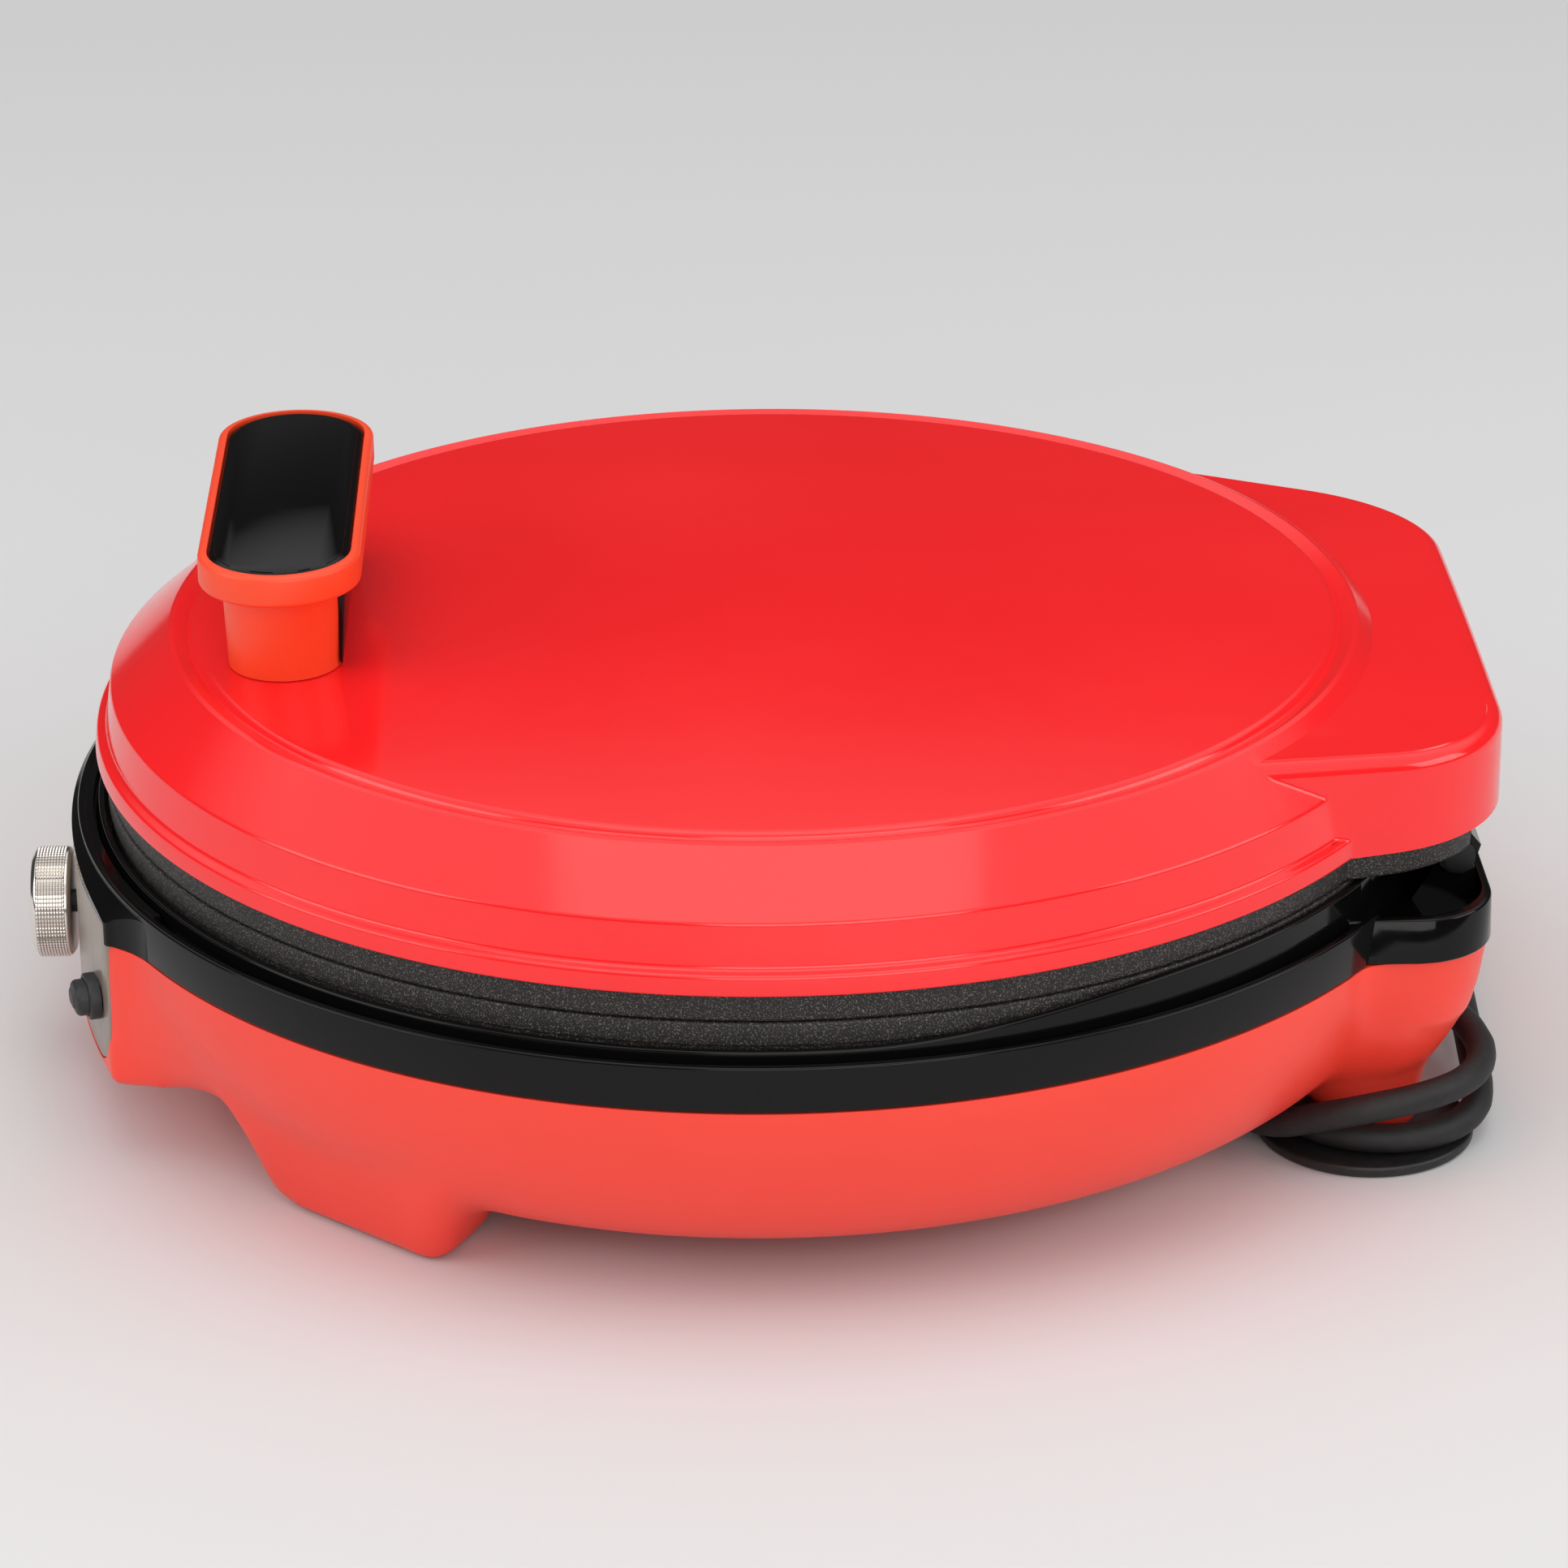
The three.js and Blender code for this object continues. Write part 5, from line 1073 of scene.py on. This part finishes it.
# The pyramids' faces are triangles; the four-cornered ones are the grooves between them, painted
# darker as shade.
KNURLING.data.materials.append(KNURL_GROOVE_SHADE)
for face in KNURLING.data.polygons:
    face.material_index = 1 if len(face.vertices) == 4 else 0


def button_cap():
    cap = raised("push_button", rounded_rectangle(10.6, 8.0, 3.6), 0.3,
                 [(4.6, 0)] + quarter(1.4, 5) + [(0.5, 0.8), (0.15, 1.0)])
    return at_button(cap)


def button_frame():
    surround = raised("button_frame", rounded_rectangle(13.2, 10.6, 4.9), 0.3,
                      [(2.2, 0)] + quarter(0.7, 4))
    hole = raised("button_hole", BUTTON_OPENING, -2, [(8, 0)])
    return at_button(carved(surround, hole))


settle(button_cap(), "button", BUTTON_RUBBER, "black_plastic", "power_button")
settle(button_frame(), "base", BUTTON_RUBBER, "black_plastic", "button_bezel")


# Flanges of the rear posts, pads, strain relief and plug

def flange():
    disc = turned("post_flange", [
        (0, 0.0), (26.6, 0.0, 0.5), (27.4, 0.9, 0.5), (27.4, 3.0, 0.8), (0, 3.0)], 128)
    return carved(disc, cylinder("flange_recess", 3.7, -1, 1.5, 48))


RIGHT_FLANGE = flange()
LEFT_FLANGE = copied(RIGHT_FLANGE, "post_flange_left")
settle(RIGHT_FLANGE, "base", DARK_PLASTIC, "black_plastic", "cord_flange_right",
       offset=(POST_X, POST_Y, 0))
settle(LEFT_FLANGE, "base", DARK_PLASTIC, "black_plastic", "cord_flange_left",
       offset=(-POST_X, POST_Y, 0))


def foot_pad():
    return turned("foot_pad", [(0, 0), (6.1, 0, 0.5), (6.5, 0.8, 0.4), (6.5, 2.4), (0, 2.4)], 48)


PAD = foot_pad()
PAD_OUT, PAD_ANGLE = 150, math.radians(43)
PAD_PLACE = (PAD_OUT * math.cos(PAD_ANGLE), -PAD_OUT * math.sin(PAD_ANGLE), 0)
LEFT_PAD = copied(PAD, "foot_pad_left")
settle(PAD, "base", RUBBER, "rubber", "front_foot_pad_right", offset=PAD_PLACE)
settle(LEFT_PAD, "base", RUBBER, "rubber", "front_foot_pad_left",
       offset=(-PAD_PLACE[0], PAD_PLACE[1], 0))


def strain_relief():
    """A collar and five ribs that taper along the lead."""
    profile = [(0, 0.3), (6.4, 0.3, 0.4), (6.4, 3.3, 0.6)]
    for k in range(5):
        z, r = 4.2 + 3.9 * k, 6.0 - 0.33 * k
        profile += [(r - 0.9, z, 0.3), (r, z + 0.9, 0.4), (r, z + 2.9, 0.4)]
    profile += [(3.9, 23.4, 0.3), (0, 23.7)]
    piece = turned("lead_relief", profile, 48, 3)
    piece.data.transform(Matrix.Translation((-34, 168, 16))
                         @ Matrix.Rotation(math.pi / 2, 4, "Y"))
    return piece


settle(strain_relief(), "base", RUBBER, "rubber", "strain_relief", smooth=40)


def plug_housing():
    """The plug's two halves, drawn from its middle up and down, and the nose round the lead."""
    outline = moved(rounded_rectangle(46, 50, 11, 10), PLUG_X, PLUG_Y)
    body = raised("plug_housing", outline, PLUG_MIDDLE,
                  [(7.6, 0)] + quarter(3.4, 6) + [(0, 1.2), (0.3, 0.2)])
    low = raised("plug_low", outline, PLUG_MIDDLE + 0.1,
                 [(-7.7, 0)] + quarter(3.4, 6, -1) + [(0, 1)])
    nose = turned("plug_nose", [
        (0, 0), (8.0, 0, 0.4), (7.6, 4.0, 0.5), (6.9, 4.4, 0.3), (6.7, 7.0, 0.3), (7.2, 7.4, 0.3),
        (6.2, 13.7, 0.8), (0, 13.7)], 48, 3)
    nose.data.transform(Matrix.Translation((-142, PLUG_Y, PLUG_MIDDLE))
                        @ Matrix.Rotation(math.pi / 2, 4, "Y"))
    joined(body, low, nose)
    return rounded_edges(body, 0.5, 50, 2)


PLUG = settle(plug_housing(), "base", DARK_PLASTIC, "black_plastic", "plug_body", smooth=36)


# Carried-over nodes keep their shape and get their finish

def dress(finish, *names):
    for name in names:
        node = frame["nodes"][name]
        node.data.materials.clear()
        node.data.materials.append(finish)


dress(STEEL, *[n for n in frame["nodes"] if "screw" in n],
      "lower_heater_clamp", "upper_heater_clamp")
dress(SHEET, "lower_reflector", "upper_reflector")
# The hinge brackets get the dark steel as painted shade under the lid's rear ear; their own sheet
# is bright.
dress(DARK_STEEL_PAINTED_SHADE, "thermostat_shaft", "hinge_bracket_right", "hinge_bracket_left",
      "hinge_pin_right", "hinge_pin_left")
dress(HEATER, "lower_heater", "upper_heater")
dress(CERAMIC, "thermal_cutout", "thermostat", "power_switch", "terminal_block")
dress(BRASS, "plug_live_pin", "plug_neutral_pin", "plug_earth_pin")
dress(BLACK, "hinge_post_right", "hinge_post_left")


# Floor and studio light

def studio():
    """A pale floor, an even sky that is dark below the horizon, and four soft lamps."""
    bpy.ops.object.select_all(action="DESELECT")
    bpy.ops.mesh.primitive_plane_add(size=14, location=(0, 0, 0))
    floor = bpy.context.object
    floor.name = "floor"
    ground = Finish("pale_floor", linear(218, 218, 219), 0.8)
    floor.data.materials.append(ground.material)
    world = bpy.data.worlds.new("studio")
    bpy.context.scene.world = world
    world.use_nodes = True
    nodes, links = world.node_tree.nodes, world.node_tree.links
    look = nodes.new("ShaderNodeTexCoord")
    split = nodes.new("ShaderNodeSeparateXYZ")
    rise = nodes.new("ShaderNodeMapRange")
    horizon = {"From Min": 0.43, "From Max": 0.62, "To Min": 0.05, "To Max": 0.86}
    for socket, value in horizon.items():
        rise.inputs[socket].default_value = value
    links.new(look.outputs["Generated"], split.inputs[0])
    links.new(split.outputs["Z"], rise.inputs["Value"])
    links.new(rise.outputs[0], nodes["Background"].inputs["Strength"])
    nodes["Background"].inputs["Color"].default_value = (1, 1, 1, 1)
    # name, place, where it points, width, height, watts
    lamps = [
        ("soft_box_above", (0.25, 0.0, 1.9), (0, 0, 0), 1.6, 1.6, 8),
        ("soft_box_camera_side", (1.9, 0.35, 0.8), (0, 0, 0.05), 1.5, 1.0, 13),
        ("soft_box_front", (0.6, -1.9, 0.9), (0, 0, 0.05), 1.5, 1.0, 12),
        ("soft_box_rear", (0.5, 1.9, 0.9), (0, 0, 0.05), 1.3, 0.9, 10),
    ]
    for name, place, aim, width, height, power in lamps:
        data = bpy.data.lights.new(name, "AREA")
        data.shape, data.size, data.size_y, data.energy = "RECTANGLE", width, height, power
        data.color = (1.0, 0.985, 0.965)
        lamp = bpy.data.objects.new(name, data)
        bpy.context.scene.collection.objects.link(lamp)
        lamp.location = place
        lamp.rotation_euler = (Vector(aim) - Vector(place)).to_track_quat("-Z", "Y").to_euler()
    bpy.context.scene.view_settings.view_transform = "Standard"


studio()
